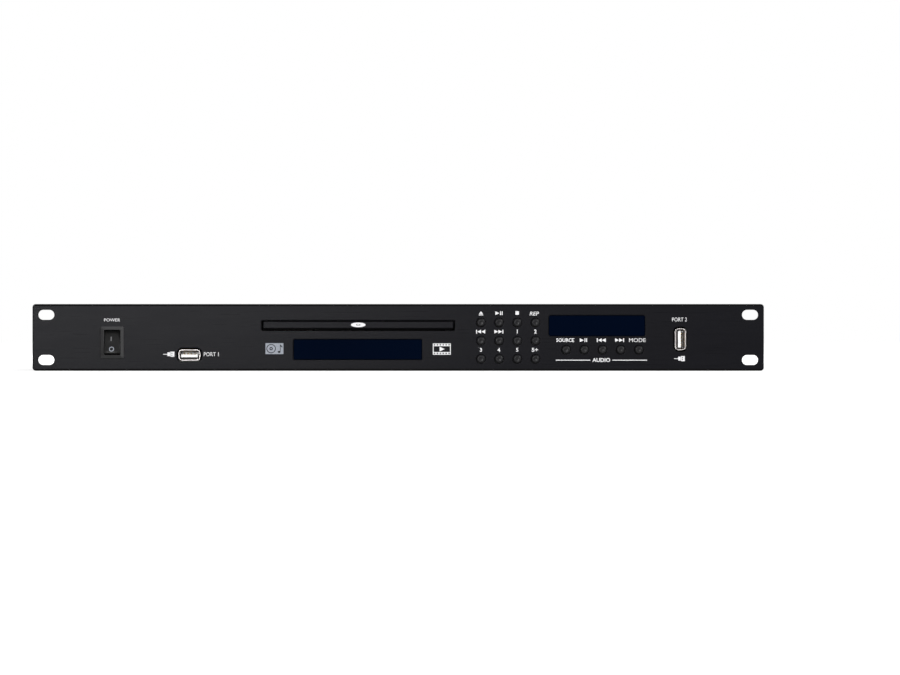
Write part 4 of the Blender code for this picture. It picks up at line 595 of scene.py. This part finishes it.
def printed(piece, name, centre, height, width, face=panelFace, finish="whiteInk"):
    # the flat sign is made a mesh, scaled to its printed size and stood against the face
    activate(piece)
    bpy.ops.object.convert(target="MESH")
    piece = bpy.context.active_object
    piece.name = name
    corners = [v.co for v in piece.data.vertices]
    low = Vector(min(c[i] for c in corners) for i in range(3))
    high = Vector(max(c[i] for c in corners) for i in range(3))
    piece.data.transform(Matrix.Translation(-(low + high) / 2))
    size = high - low
    tall = height / size.y
    wide = width / size.x if width else tall
    piece.scale = (wide, tall, ink["thickness"] / size.z)
    piece.rotation_euler = (math.pi / 2, 0, 0)
    piece.location = (centre[0], face - ink["thickness"] / 2, centre[1])
    settle(piece)
    closeUp(piece)
    return wear(piece, finish, "case")


def printWords(name, text, centre, height, width, slant, weight):
    clearSelection()
    bpy.ops.object.text_add()
    letters = bpy.context.active_object
    letters.data.body = text
    letters.data.shear = slant
    letters.data.offset = weight
    letters.data.extrude = ink["extrude"]
    letters.data.resolution_u = ink["curveSteps"]
    printed(letters, name, centre, height, width)


def printSign(name, outlines, centre, height, width=None, finish="whiteInk", face=panelFace):
    clearSelection()
    drawing = bpy.data.curves.new(name, "CURVE")
    drawing.dimensions = "2D"
    drawing.fill_mode = "BOTH"
    drawing.extrude = ink["extrude"]
    for outline in outlines:
        line = drawing.splines.new("POLY")
        line.points.add(len(outline) - 1)
        for point, (across, up) in zip(line.points, outline):
            point.co = (across, up, 0, 1)
        line.use_cyclic_u = True
    sign = bpy.data.objects.new(name, drawing)
    scene.collection.objects.link(sign)
    return printed(sign, name, centre, height, width, face, finish)


def block(left, right, low, high):
    return [(left, low), (right, low), (right, high), (left, high)]


def oval(across, up, wide, tall, steps=32):
    turns = [2 * math.pi * i / steps for i in range(steps)]
    return [(across + wide * math.cos(t), up + tall * math.sin(t)) for t in turns]


def arrow(tip, base, half):
    return [(tip, 0), (base, half), (base, -half)]


filmHoles = [
    block(x - 0.5, x + 0.5, y - 0.42, y + 0.42)
    for x in (-4.9, -2.94, -0.98, 0.98, 2.94, 4.9) for y in (-2.9, 2.9)
]
signs = {
    "playPause": [arrow(0.2, -2.4, 1.25), block(0.7, 1.3, -1.25, 1.25), block(1.8, 2.4, -1.25, 1.25)],
    "stop": [block(-1.2, 1.2, -1.2, 1.2)],
    "eject": [[(-1.4, -0.35), (1.4, -0.35), (0, 1.3)], block(-1.4, 1.4, -1.3, -0.75)],
    "previous": [block(-3.0, -2.35, -1.25, 1.25), arrow(-2.2, 0.3, 1.25), arrow(0.5, 3.0, 1.25)],
    "next": [block(2.35, 3.0, -1.25, 1.25), arrow(2.2, -0.3, 1.25), arrow(-0.5, -3.0, 1.25)],
    "plug": [
        block(-3.7, -0.9, -0.22, 0.22), block(-0.9, 0.9, -1.3, 1.3),
        block(1.1, 3.7, -1.75, 1.75), block(1.75, 2.35, 0.35, 1.0), block(1.75, 2.35, -1.0, -0.35),
    ],
    "trayDisc": [oval(0, 0, 4.9, 1.6, 48), oval(0, 0, 1.5, 0.5, 24), oval(0, 0, 0.95, 0.3, 24)],
    "soundDisc": [
        block(-5.9, 5.9, -3.7, 3.7), oval(-2.2, 0, 3.1, 3.1, 48), oval(-2.2, 0, 2.6, 2.6, 48),
        oval(-2.2, 0, 1.1, 1.1, 32), oval(-2.2, 0, 0.5, 0.5, 24),
        oval(3.1, -2.2, 0.95, 0.7, 24),
        [(3.6, -1.9), (4.0, -1.9), (4.0, 1.6), (5.2, 0.6), (5.2, 1.5), (3.6, 3.0)],
    ],
    "film": [block(-6.0, 6.0, -3.8, 3.8), block(-5.5, 5.5, -2.0, 2.0), arrow(1.9, -1.5, 1.65)] + filmHoles,
}

words = (
    ("label_power", "POWER", (-0.1887, 0.0335), 0.0020, 0.0106, 0.0, 0.0),
    ("label_port_one", "PORT 1", (-0.1233, 0.0109), 0.0026, 0.0098, 0.0, 0.0),
    ("label_port_two", "PORT 2", (0.1856, 0.0338), 0.0026, 0.0098, 0.0, 0.0),
    ("label_repeat", "REP", (0.0898, 0.0377), 0.0025, 0.0062, 0.2, 0.01),
    ("label_one", "1", (0.0786, 0.0259), 0.0026, None, 0.0, 0.025),
    ("label_two", "2", (0.0905, 0.0259), 0.0026, None, 0.0, 0.025),
    ("label_three", "3", (0.0546, 0.0138), 0.0026, None, 0.0, 0.025),
    ("label_four", "4", (0.0664, 0.0138), 0.0026, None, 0.0, 0.025),
    ("label_five", "5", (0.0785, 0.0138), 0.0026, None, 0.0, 0.025),
    ("label_five_plus", "5+", (0.0902, 0.0138), 0.0026, 0.0041, 0.0, 0.025),
    ("label_source", "SOURCE", (0.1102, 0.0202), 0.0025, 0.0118, 0.0, 0.025),
    ("label_mode", "MODE", (0.1578, 0.0202), 0.0025, 0.0110, 0.0, 0.0),
    ("label_audio", "AUDIO", (0.1340, 0.0071), 0.0026, 0.0118, 0.0, 0.025),
)
for name, text, centre, height, width, slant, weight in words:
    printWords(name, text, centre, height, width, slant, weight)

placedSigns = (
    ("sign_eject", "eject", (0.0546, 0.0379), 0.0026, 0.0028),
    ("sign_play_pause", "playPause", (0.0665, 0.0380), 0.0025, 0.0048),
    ("sign_stop", "stop", (0.0785, 0.0381), 0.0023, 0.0023),
    ("sign_previous", "previous", (0.0544, 0.0258), 0.0025, 0.0060),
    ("sign_next", "next", (0.0664, 0.0258), 0.0025, 0.0060),
    ("sign_audio_play_pause", "playPause", (0.1222, 0.0202), 0.0025, 0.0048),
    ("sign_audio_previous", "previous", (0.1340, 0.0202), 0.0025, 0.0059),
    ("sign_audio_next", "next", (0.1461, 0.0202), 0.0025, 0.0059),
    ("sign_port_one", "plug", (-0.1513, 0.0109), 0.0034, 0.0074),
    ("sign_port_two", "plug", (0.1856, 0.0080), 0.0034, 0.0070),
    ("sign_film", "film", (0.0288, 0.0143), 0.0074, 0.0118),
)
for name, kind, centre, height, width in placedSigns:
    printSign(name, signs[kind], centre, height, width)
printSign("sign_sound_disc", signs["soundDisc"], (-0.0816, 0.0146), 0.0072, 0.0118, "greyInk")
rule = {"up": 0.0070, "height": 0.0005,
        "spans": (("rule_left", 0.1040, 0.1268), ("rule_right", 0.1413, 0.1642))}
for name, left, right in rule["spans"]:
    outline = block(left, right, 0.0, rule["height"])
    printSign(name, [outline], ((left + right) / 2, rule["up"]), rule["height"], right - left)

traySign = printSign("sign_tray", signs["trayDisc"], (-0.0263, 0.0303), 0.0031, 0.0096, face=trayFaceLow.y)
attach(traySign, "tray")
print("printing made")


# Rocker: a block cut across at each level, its front drawn in or out to the profile.
# The upper end is pressed in below the bezel, and the lower end stands out.

rocker = {
    "halfWidth": 0.00515, "back": 0.0025, "edge": 0.00035, "pinRadius": 0.001, "pinLength": 0.0006,
    "pinSides": 16, "pivotZ": 0.0187, "pivotDepth": 0.0005, "bevelAngle": 40, "smooth": 35,
    "levels": (
        (-0.0080, 0.0013), (-0.0076, 0.0031), (-0.0070, 0.0045), (-0.0050, 0.0040), (-0.0028, 0.0033),
        (-0.0010, 0.0027), (0.0006, 0.0024), (0.0030, 0.0018), (0.0052, 0.0009), (0.0073, -0.0002),
        (0.0080, -0.0006),
    ),
}


def modelRocker():
    low = rocker["levels"][0][0]
    high = rocker["levels"][-1][0]
    pivotX = (switchLow.x + switchHigh.x) / 2
    pivotY = panelFace + rocker["pivotDepth"]
    bpy.ops.mesh.primitive_cube_add(
        size=1, location=(pivotX, pivotY + rocker["back"] / 2, rocker["pivotZ"] + (low + high) / 2),
        scale=(2 * rocker["halfWidth"], rocker["back"], high - low),
    )
    piece = bpy.context.active_object
    piece.name = "rocker_cap"
    settle(piece)
    for up, _ in rocker["levels"][1:-1]:
        pickPoints(piece, lambda spot: True)
        bpy.ops.mesh.bisect(plane_co=(0, 0, rocker["pivotZ"] + up), plane_no=(0, 0, 1))
    for up, reach in rocker["levels"]:
        height = rocker["pivotZ"] + up
        near = picking["near"]
        pickPoints(piece, lambda spot: abs(spot.z - height) < near and spot.y < pivotY + near)
        bpy.ops.transform.translate(value=(0, -reach, 0))
    bpy.ops.object.mode_set(mode="OBJECT")
    rim = piece.modifiers.new("rim", "BEVEL")
    rim.width = rocker["edge"]
    rim.segments = 2
    rim.limit_method = "ANGLE"
    rim.angle_limit = math.radians(rocker["bevelAngle"])
    finishModifiers(piece)
    for side in (-1, 1):
        clearSelection()
        across = pivotX + side * (rocker["halfWidth"] + rocker["pinLength"] / 2)
        bpy.ops.mesh.primitive_cylinder_add(
            vertices=rocker["pinSides"], radius=rocker["pinRadius"], depth=rocker["pinLength"],
            location=(across, pivotY, rocker["pivotZ"]), rotation=(0, math.pi / 2, 0),
        )
        pin = bpy.context.active_object
        settle(pin)
        piece.select_set(True)
        bpy.context.view_layer.objects.active = piece
        bpy.ops.object.join()
    closeUp(piece, rocker["smooth"])
    return piece


rockerCap = modelRocker()
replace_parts(wear(rockerCap, "rockerPlastic", "power_rocker"), "power_rocker")


# Marks on the rocker, laid on its two sloping faces

rockerMarks = {"height": 0.0030, "barWidth": 0.0007, "barAt": (-0.1892, 0.0210), "ringAt": (-0.1888, 0.0143),
               "ringRadius": 0.00165, "ringWidth": 0.0005, "probeStart": 0.05}


def layOnRocker(piece, across, up):
    start = Vector((across, panelFace - rockerMarks["probeStart"], up))
    _, point, normal, _ = rockerCap.ray_cast(start, Vector((0, 1, 0)))
    piece.data.transform(Matrix.Translation(-Vector((across, panelFace, up))))
    turn = Vector((0, -1, 0)).rotation_difference(normal).to_matrix().to_4x4()
    piece.data.transform(Matrix.Translation(point) @ turn)
    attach(piece, "power_rocker")


bar = block(0.0, rockerMarks["barWidth"], 0.0, rockerMarks["height"])
# the ON bar in the darkened ink, painted shade of the pressed-in end
markOn = printSign("mark_on", [bar], rockerMarks["barAt"], rockerMarks["height"], finish="shadedInk")
layOnRocker(markOn, *rockerMarks["barAt"])
outer = rockerMarks["ringRadius"]
inner = outer - rockerMarks["ringWidth"]
ring = [oval(0, 0, outer, outer), oval(0, 0, inner, inner)]
markOff = printSign("mark_off", ring, rockerMarks["ringAt"], 2 * outer, finish="greyInk")
layOnRocker(markOff, *rockerMarks["ringAt"])
print("rocker marks made")


# Contacts in the USB sockets: four sprung strips on each tongue

contact = {"width": 0.001, "length": 0.0072, "start": 0.0006, "rise": 0.0008, "thickness": 0.0002, "rows": 8,
           "bendShare": 0.625, "bladeDepth": 0.001, "places": (-0.0035, -0.001, 0.001, 0.0035), "smooth": 40}


def modelContact(across, top, front):
    bpy.ops.mesh.primitive_grid_add(
        x_subdivisions=1, y_subdivisions=contact["rows"], size=1,
        location=(across, front + contact["start"] + contact["length"] / 2, top),
    )
    strip = bpy.context.active_object
    strip.scale = (contact["width"], contact["length"], 1)
    settle(strip)
    for row in range(contact["rows"] + 1):
        share = row / contact["rows"]
        along = front + contact["start"] + contact["length"] * share
        pickPoints(strip, lambda spot: abs(spot.y - along) < contact["length"] / contact["rows"] / 3)
        lift = contact["rise"] * math.sin(math.pi * min(1.0, share / contact["bendShare"]))
        bpy.ops.transform.translate(value=(0, 0, lift + contact["thickness"]))
    bpy.ops.object.mode_set(mode="OBJECT")
    wall = strip.modifiers.new("wall", "SOLIDIFY")
    wall.thickness = contact["thickness"]
    wall.offset = -1
    finishModifiers(strip)
    closeUp(strip, contact["smooth"])
    return strip


def bladeBox(name):
    # the tongue's blade reaches furthest forward
    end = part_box(name)[0].y + contact["bladeDepth"]
    blade = [v.co for v in nodes[name].data.vertices if v.co.y < end]
    low = Vector(min(c[i] for c in blade) for i in range(3))
    high = Vector(max(c[i] for c in blade) for i in range(3))
    return low, high


for side, upright in (("left", False), ("right", True)):
    bladeLow, bladeHigh = bladeBox("usb_tongue_" + side)
    for index, offset in enumerate(contact["places"]):
        clearSelection()
        if upright:
            # drawn flat and then turned to face across
            strip = modelContact(0, 0, bladeLow.y)
            strip.rotation_euler = (0, math.pi / 2, 0)
            strip.location = (bladeHigh.x, 0, (bladeLow.z + bladeHigh.z) / 2 + offset)
            settle(strip)
        else:
            strip = modelContact((bladeLow.x + bladeHigh.x) / 2 + offset, bladeHigh.z, bladeLow.y)
        strip.name = "contact_" + side + "_" + str(index + 1)
        wear(strip, "contactGold", "case")
print("contacts made")


# Pan-head screws along the cover's skirts and on the rear panel

screw = {"radius": 0.0026, "height": 0.0012, "crown": 0.0005, "slotLength": 0.0032, "slotWidth": 0.0006,
         "slotDepth": 0.0008, "sides": 28, "smooth": 30,
         "domeShares": ((0.3, 0.7), (0.35, 0.3)),      # of the radius inwards and of the crown upwards
         "alongSkirt": (-0.098, 0.0, 0.098), "skirtRise": 0.006,
         "rearAcross": (-0.205, -0.09, 0.04, 0.205), "rearUp": 0.0375}


def modelScrew():
    clearSelection()
    bpy.ops.mesh.primitive_cylinder_add(
        vertices=screw["sides"], radius=screw["radius"], depth=screw["height"],
        location=(0, 0, screw["height"] / 2),
    )
    head = bpy.context.active_object
    settle(head)
    pickFaces(head, lambda face: face.normal.z > picking["facing"])
    for inwards, upwards in screw["domeShares"]:
        bpy.ops.mesh.inset(thickness=screw["radius"] * inwards)
        bpy.ops.transform.translate(value=(0, 0, screw["crown"] * upwards))
    bpy.ops.object.mode_set(mode="OBJECT")
    for turn in (0, math.pi / 2):
        clearSelection()
        bpy.ops.mesh.primitive_cube_add(
            size=1, location=(0, 0, screw["height"] + screw["crown"]), rotation=(0, 0, turn),
            scale=(screw["slotLength"], screw["slotWidth"], 2 * screw["slotDepth"]),
        )
        cutter = bpy.context.active_object
        activate(head)
        cross = head.modifiers.new("cross", "BOOLEAN")
        cross.object = cutter
        cross.operation = "DIFFERENCE"
        finishModifiers(head)
        bpy.data.objects.remove(cutter)
    closeUp(head, screw["smooth"])
    return head


screwMaster = modelScrew()
coverLow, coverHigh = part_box("top_cover")
skirtZ = coverLow.z + screw["skirtRise"]
screwPlaces = [((side * coverHigh.x, along, skirtZ), (0, side * math.pi / 2, 0))
               for side in (-1, 1) for along in screw["alongSkirt"]]
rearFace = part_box("rear_panel")[1].y
screwPlaces += [((across, rearFace, screw["rearUp"]), (-math.pi / 2, 0, 0)) for across in screw["rearAcross"]]
for index, (spot, turn) in enumerate(screwPlaces):
    head = copyOf(screwMaster, "screw_" + str(index + 1))
    head.location = spot
    head.rotation_euler = turn
    settle(head)
    wear(head, "screwSteel", "case")
bpy.data.objects.remove(screwMaster)
print("screws made,", len(screwPlaces))


# Sockets on the back: turned shells round coloured inserts, on a moulded body

socket = {
    "sides": 40, "smooth": 35,
    "bodyGap": 0.0013, "bodyEdge": 0.0004,      # the moulded block stops short of the panel's rear face
    "collarRadius": 0.0052, "collarHeight": 0.001, "collarStart": -0.0016, "softEdge": 0.0002,
    "shellStart": -0.0018, "shellDepth": 0.0062, "wall": 0.0006, "flare": 0.0003,
    "insertStart": 0.0015, "insertFit": 0.00005, "recess": 0.0005, "holeDepth": 0.006,
}
audioSocket = {"pitch": 0.014, "shell": 0.0042, "hole": 0.0017}
aerialSocket = {"shell": 0.0048, "hole": 0.0012}


def turnedTube(name, centre, radius, start, end, bore, depth, edge):
    # a round bar along Y whose far face is rimmed and bored
    clearSelection()
    bpy.ops.mesh.primitive_cylinder_add(
        vertices=socket["sides"], radius=radius, depth=end - start,
        location=(centre[0], (start + end) / 2, centre[1]), rotation=(math.pi / 2, 0, 0),
    )
    tube = bpy.context.active_object
    tube.name = name
    settle(tube)
    pickFaces(tube, lambda face: face.normal.y > picking["facing"])
    bpy.ops.transform.translate(value=(0, -edge, 0))
    bpy.ops.mesh.extrude_region_move(TRANSFORM_OT_translate={"value": (0, edge, 0)})
    rim = (radius - edge) / radius
    bpy.ops.transform.resize(value=(rim, 1, rim), center_override=(centre[0], 0, centre[1]))
    bpy.ops.mesh.inset(thickness=radius - edge - bore)
    bpy.ops.mesh.extrude_region_move(TRANSFORM_OT_translate={"value": (0, -depth, 0)})
    closeUp(tube, socket["smooth"])
    return tube


def modelSocketRow(name, node, places, shellRadius, holeRadius, collared):
    # the body block, then for each place a shell and its insert, with a moulded collar if it has one
    low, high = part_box(node)
    middleZ = (low.z + high.z) / 2
    bodyEnd = rearFace - socket["bodyGap"]
    clearSelection()
    bpy.ops.mesh.primitive_cube_add(
        size=1, location=((low.x + high.x) / 2, (low.y + bodyEnd) / 2, middleZ),
        scale=(high.x - low.x, bodyEnd - low.y, high.z - low.z),
    )
    moulding = bpy.context.active_object
    moulding.name = name + "_body"
    settle(moulding)
    rim = moulding.modifiers.new("rim", "BEVEL")
    rim.width = socket["bodyEdge"]
    rim.segments = 2
    finishModifiers(moulding)
    closeUp(moulding, socket["smooth"])
    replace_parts(wear(moulding, "blackPlastic", "case"), node)
    shellBore = shellRadius - socket["wall"]
    for index, (across, finish) in enumerate(places):
        centre = (across, middleZ)
        tag = name + "_" + str(index + 1)
        if collared:
            collar = turnedTube(tag + "_collar", centre, socket["collarRadius"],
                                rearFace + socket["collarStart"], rearFace + socket["collarHeight"],
                                shellRadius, socket["softEdge"], socket["softEdge"])
            wear(collar, "blackPlastic", "case")
        shell = turnedTube(tag + "_shell", centre, shellRadius, rearFace + socket["shellStart"], high.y,
                           shellBore, socket["shellDepth"], socket["flare"])
        wear(shell, "socketNickel", "case")
        insert = turnedTube(tag + "_insert", centre, shellBore - socket["insertFit"],
                            rearFace + socket["insertStart"], high.y - socket["recess"],
                            holeRadius, socket["holeDepth"], socket["softEdge"])
        wear(insert, finish, "case")


audioLow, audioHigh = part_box("audio_sockets")
audioMiddle = (audioLow.x + audioHigh.x) / 2
audioPlaces = (
    (audioMiddle - audioSocket["pitch"], "socketRed"),
    (audioMiddle, "socketWhite"),
    (audioMiddle + audioSocket["pitch"], "socketYellow"),
)
modelSocketRow("audio", "audio_sockets", audioPlaces, audioSocket["shell"], audioSocket["hole"],
               collared=True)
aerialLow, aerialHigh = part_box("aerial_socket")
aerialPlaces = (((aerialLow.x + aerialHigh.x) / 2, "socketWhite"),)
modelSocketRow("aerial", "aerial_socket", aerialPlaces, aerialSocket["shell"], aerialSocket["hole"],
               collared=False)
print("rear sockets made")


# Floor, lamps and background

stageChoices = {"floorSize": 24.0, "floorGap": 0.0001, "floorGrey": 0.46, "nearLift": 0.56, "farLift": 1.0,
                "nearReach": 0.35, "farReach": 0.8, "bounceGrey": 0.18, "ambient": 0.14}


def makeFloor():
    clearSelection()
    height = cadBox[0].z - stageChoices["floorGap"]
    bpy.ops.mesh.primitive_plane_add(size=stageChoices["floorSize"], location=(0, 0, height))
    floor = bpy.context.active_object
    floor.name = "studioFloor"
    material = bpy.data.materials.new("floorPaper")
    material.use_nodes = True
    tree = material.node_tree
    tree.nodes.clear()
    output = place(tree, "ShaderNodeOutputMaterial", (600, 0))
    seen = place(tree, "ShaderNodeBsdfDiffuse", (0, 100))
    seen.inputs["Color"].default_value = (*[stageChoices["floorGrey"]] * 3, 1.0)
    lift = place(tree, "ShaderNodeEmission", (0, -50))
    spot = place(tree, "ShaderNodeTexCoord", (-700, -50))
    reach = place(tree, "ShaderNodeVectorMath", (-500, -50), operation="LENGTH")
    tree.links.new(spot.outputs["Object"], reach.inputs[0])
    glow = stretched(tree, reach.outputs["Value"], stageChoices["nearLift"], stageChoices["farLift"],
                     stageChoices["nearReach"], stageChoices["farReach"])
    tree.links.new(glow, lift.inputs["Strength"])
    both = place(tree, "ShaderNodeAddShader", (200, 50))
    bounce = place(tree, "ShaderNodeBsdfDiffuse", (0, -200))
    bounce.inputs["Color"].default_value = (*[stageChoices["bounceGrey"]] * 3, 1.0)
    mix = place(tree, "ShaderNodeMixShader", (400, 0))
    tree.links.new(seen.outputs["BSDF"], both.inputs[0])
    tree.links.new(lift.outputs["Emission"], both.inputs[1])
    tree.links.new(seenDirectly(tree), mix.inputs["Fac"])
    tree.links.new(bounce.outputs["BSDF"], mix.inputs[1])
    tree.links.new(both.outputs["Shader"], mix.inputs[2])
    tree.links.new(mix.outputs["Shader"], output.inputs["Surface"])
    floor.data.materials.append(material)


def seenDirectly(tree):
    path = place(tree, "ShaderNodeLightPath", (-700, 300))
    share = path.outputs["Is Camera Ray"]
    for label in ("Is Glossy Ray", "Is Transmission Ray"):
        larger = place(tree, "ShaderNodeMath", (-400, 300), operation="MAXIMUM")
        tree.links.new(share, larger.inputs[0])
        tree.links.new(path.outputs[label], larger.inputs[1])
        share = larger.outputs["Value"]
    return share


def makeWorld():
    world = bpy.data.worlds.new("studioWorld")
    world.use_nodes = True
    scene.world = world
    tree = world.node_tree
    sky = tree.nodes["Background"]
    strength = stretched(tree, seenDirectly(tree), stageChoices["ambient"], 1.0, 0.0, 1.0)
    sky.inputs["Color"].default_value = (1.0, 1.0, 1.0, 1.0)
    tree.links.new(strength, sky.inputs["Strength"])


lamps = (
    {"name": "keySoftbox", "place": (3.3, -2.7, 2.6), "aim": (0.0, -0.12, 0.02),
     "wide": 1.9, "tall": 1.9, "power": 280.0},
    {"name": "frontSoftbox", "place": (-0.5, -2.2, 0.35), "aim": (-0.1, -0.12, 0.02),
     "wide": 0.8, "tall": 0.4, "power": 23.0},
    {"name": "topSoftbox", "place": (0.0, 0.3, 1.5), "aim": (0.0, 0.0, 0.0),
     "wide": 1.4, "tall": 1.4, "power": 8.0},
    {"name": "backSoftbox", "place": (-1.7, 1.9, 1.1), "aim": (0.0, 0.1, 0.02),
     "wide": 1.0, "tall": 1.0, "power": 55.0},
)


def makeLamp(choices):
    bpy.ops.object.light_add(type="AREA", location=choices["place"])
    lamp = bpy.context.active_object
    lamp.name = choices["name"]
    lamp.data.shape = "RECTANGLE"
    lamp.data.size = choices["wide"]
    lamp.data.size_y = choices["tall"]
    lamp.data.energy = choices["power"]
    aim = Vector(choices["aim"]) - Vector(choices["place"])
    lamp.rotation_euler = aim.to_track_quat("-Z", "Y").to_euler()


makeFloor()
makeWorld()
for choices in lamps:
    makeLamp(choices)
scene.view_settings.view_transform = "Standard"
print("stage made")

clearSelection()
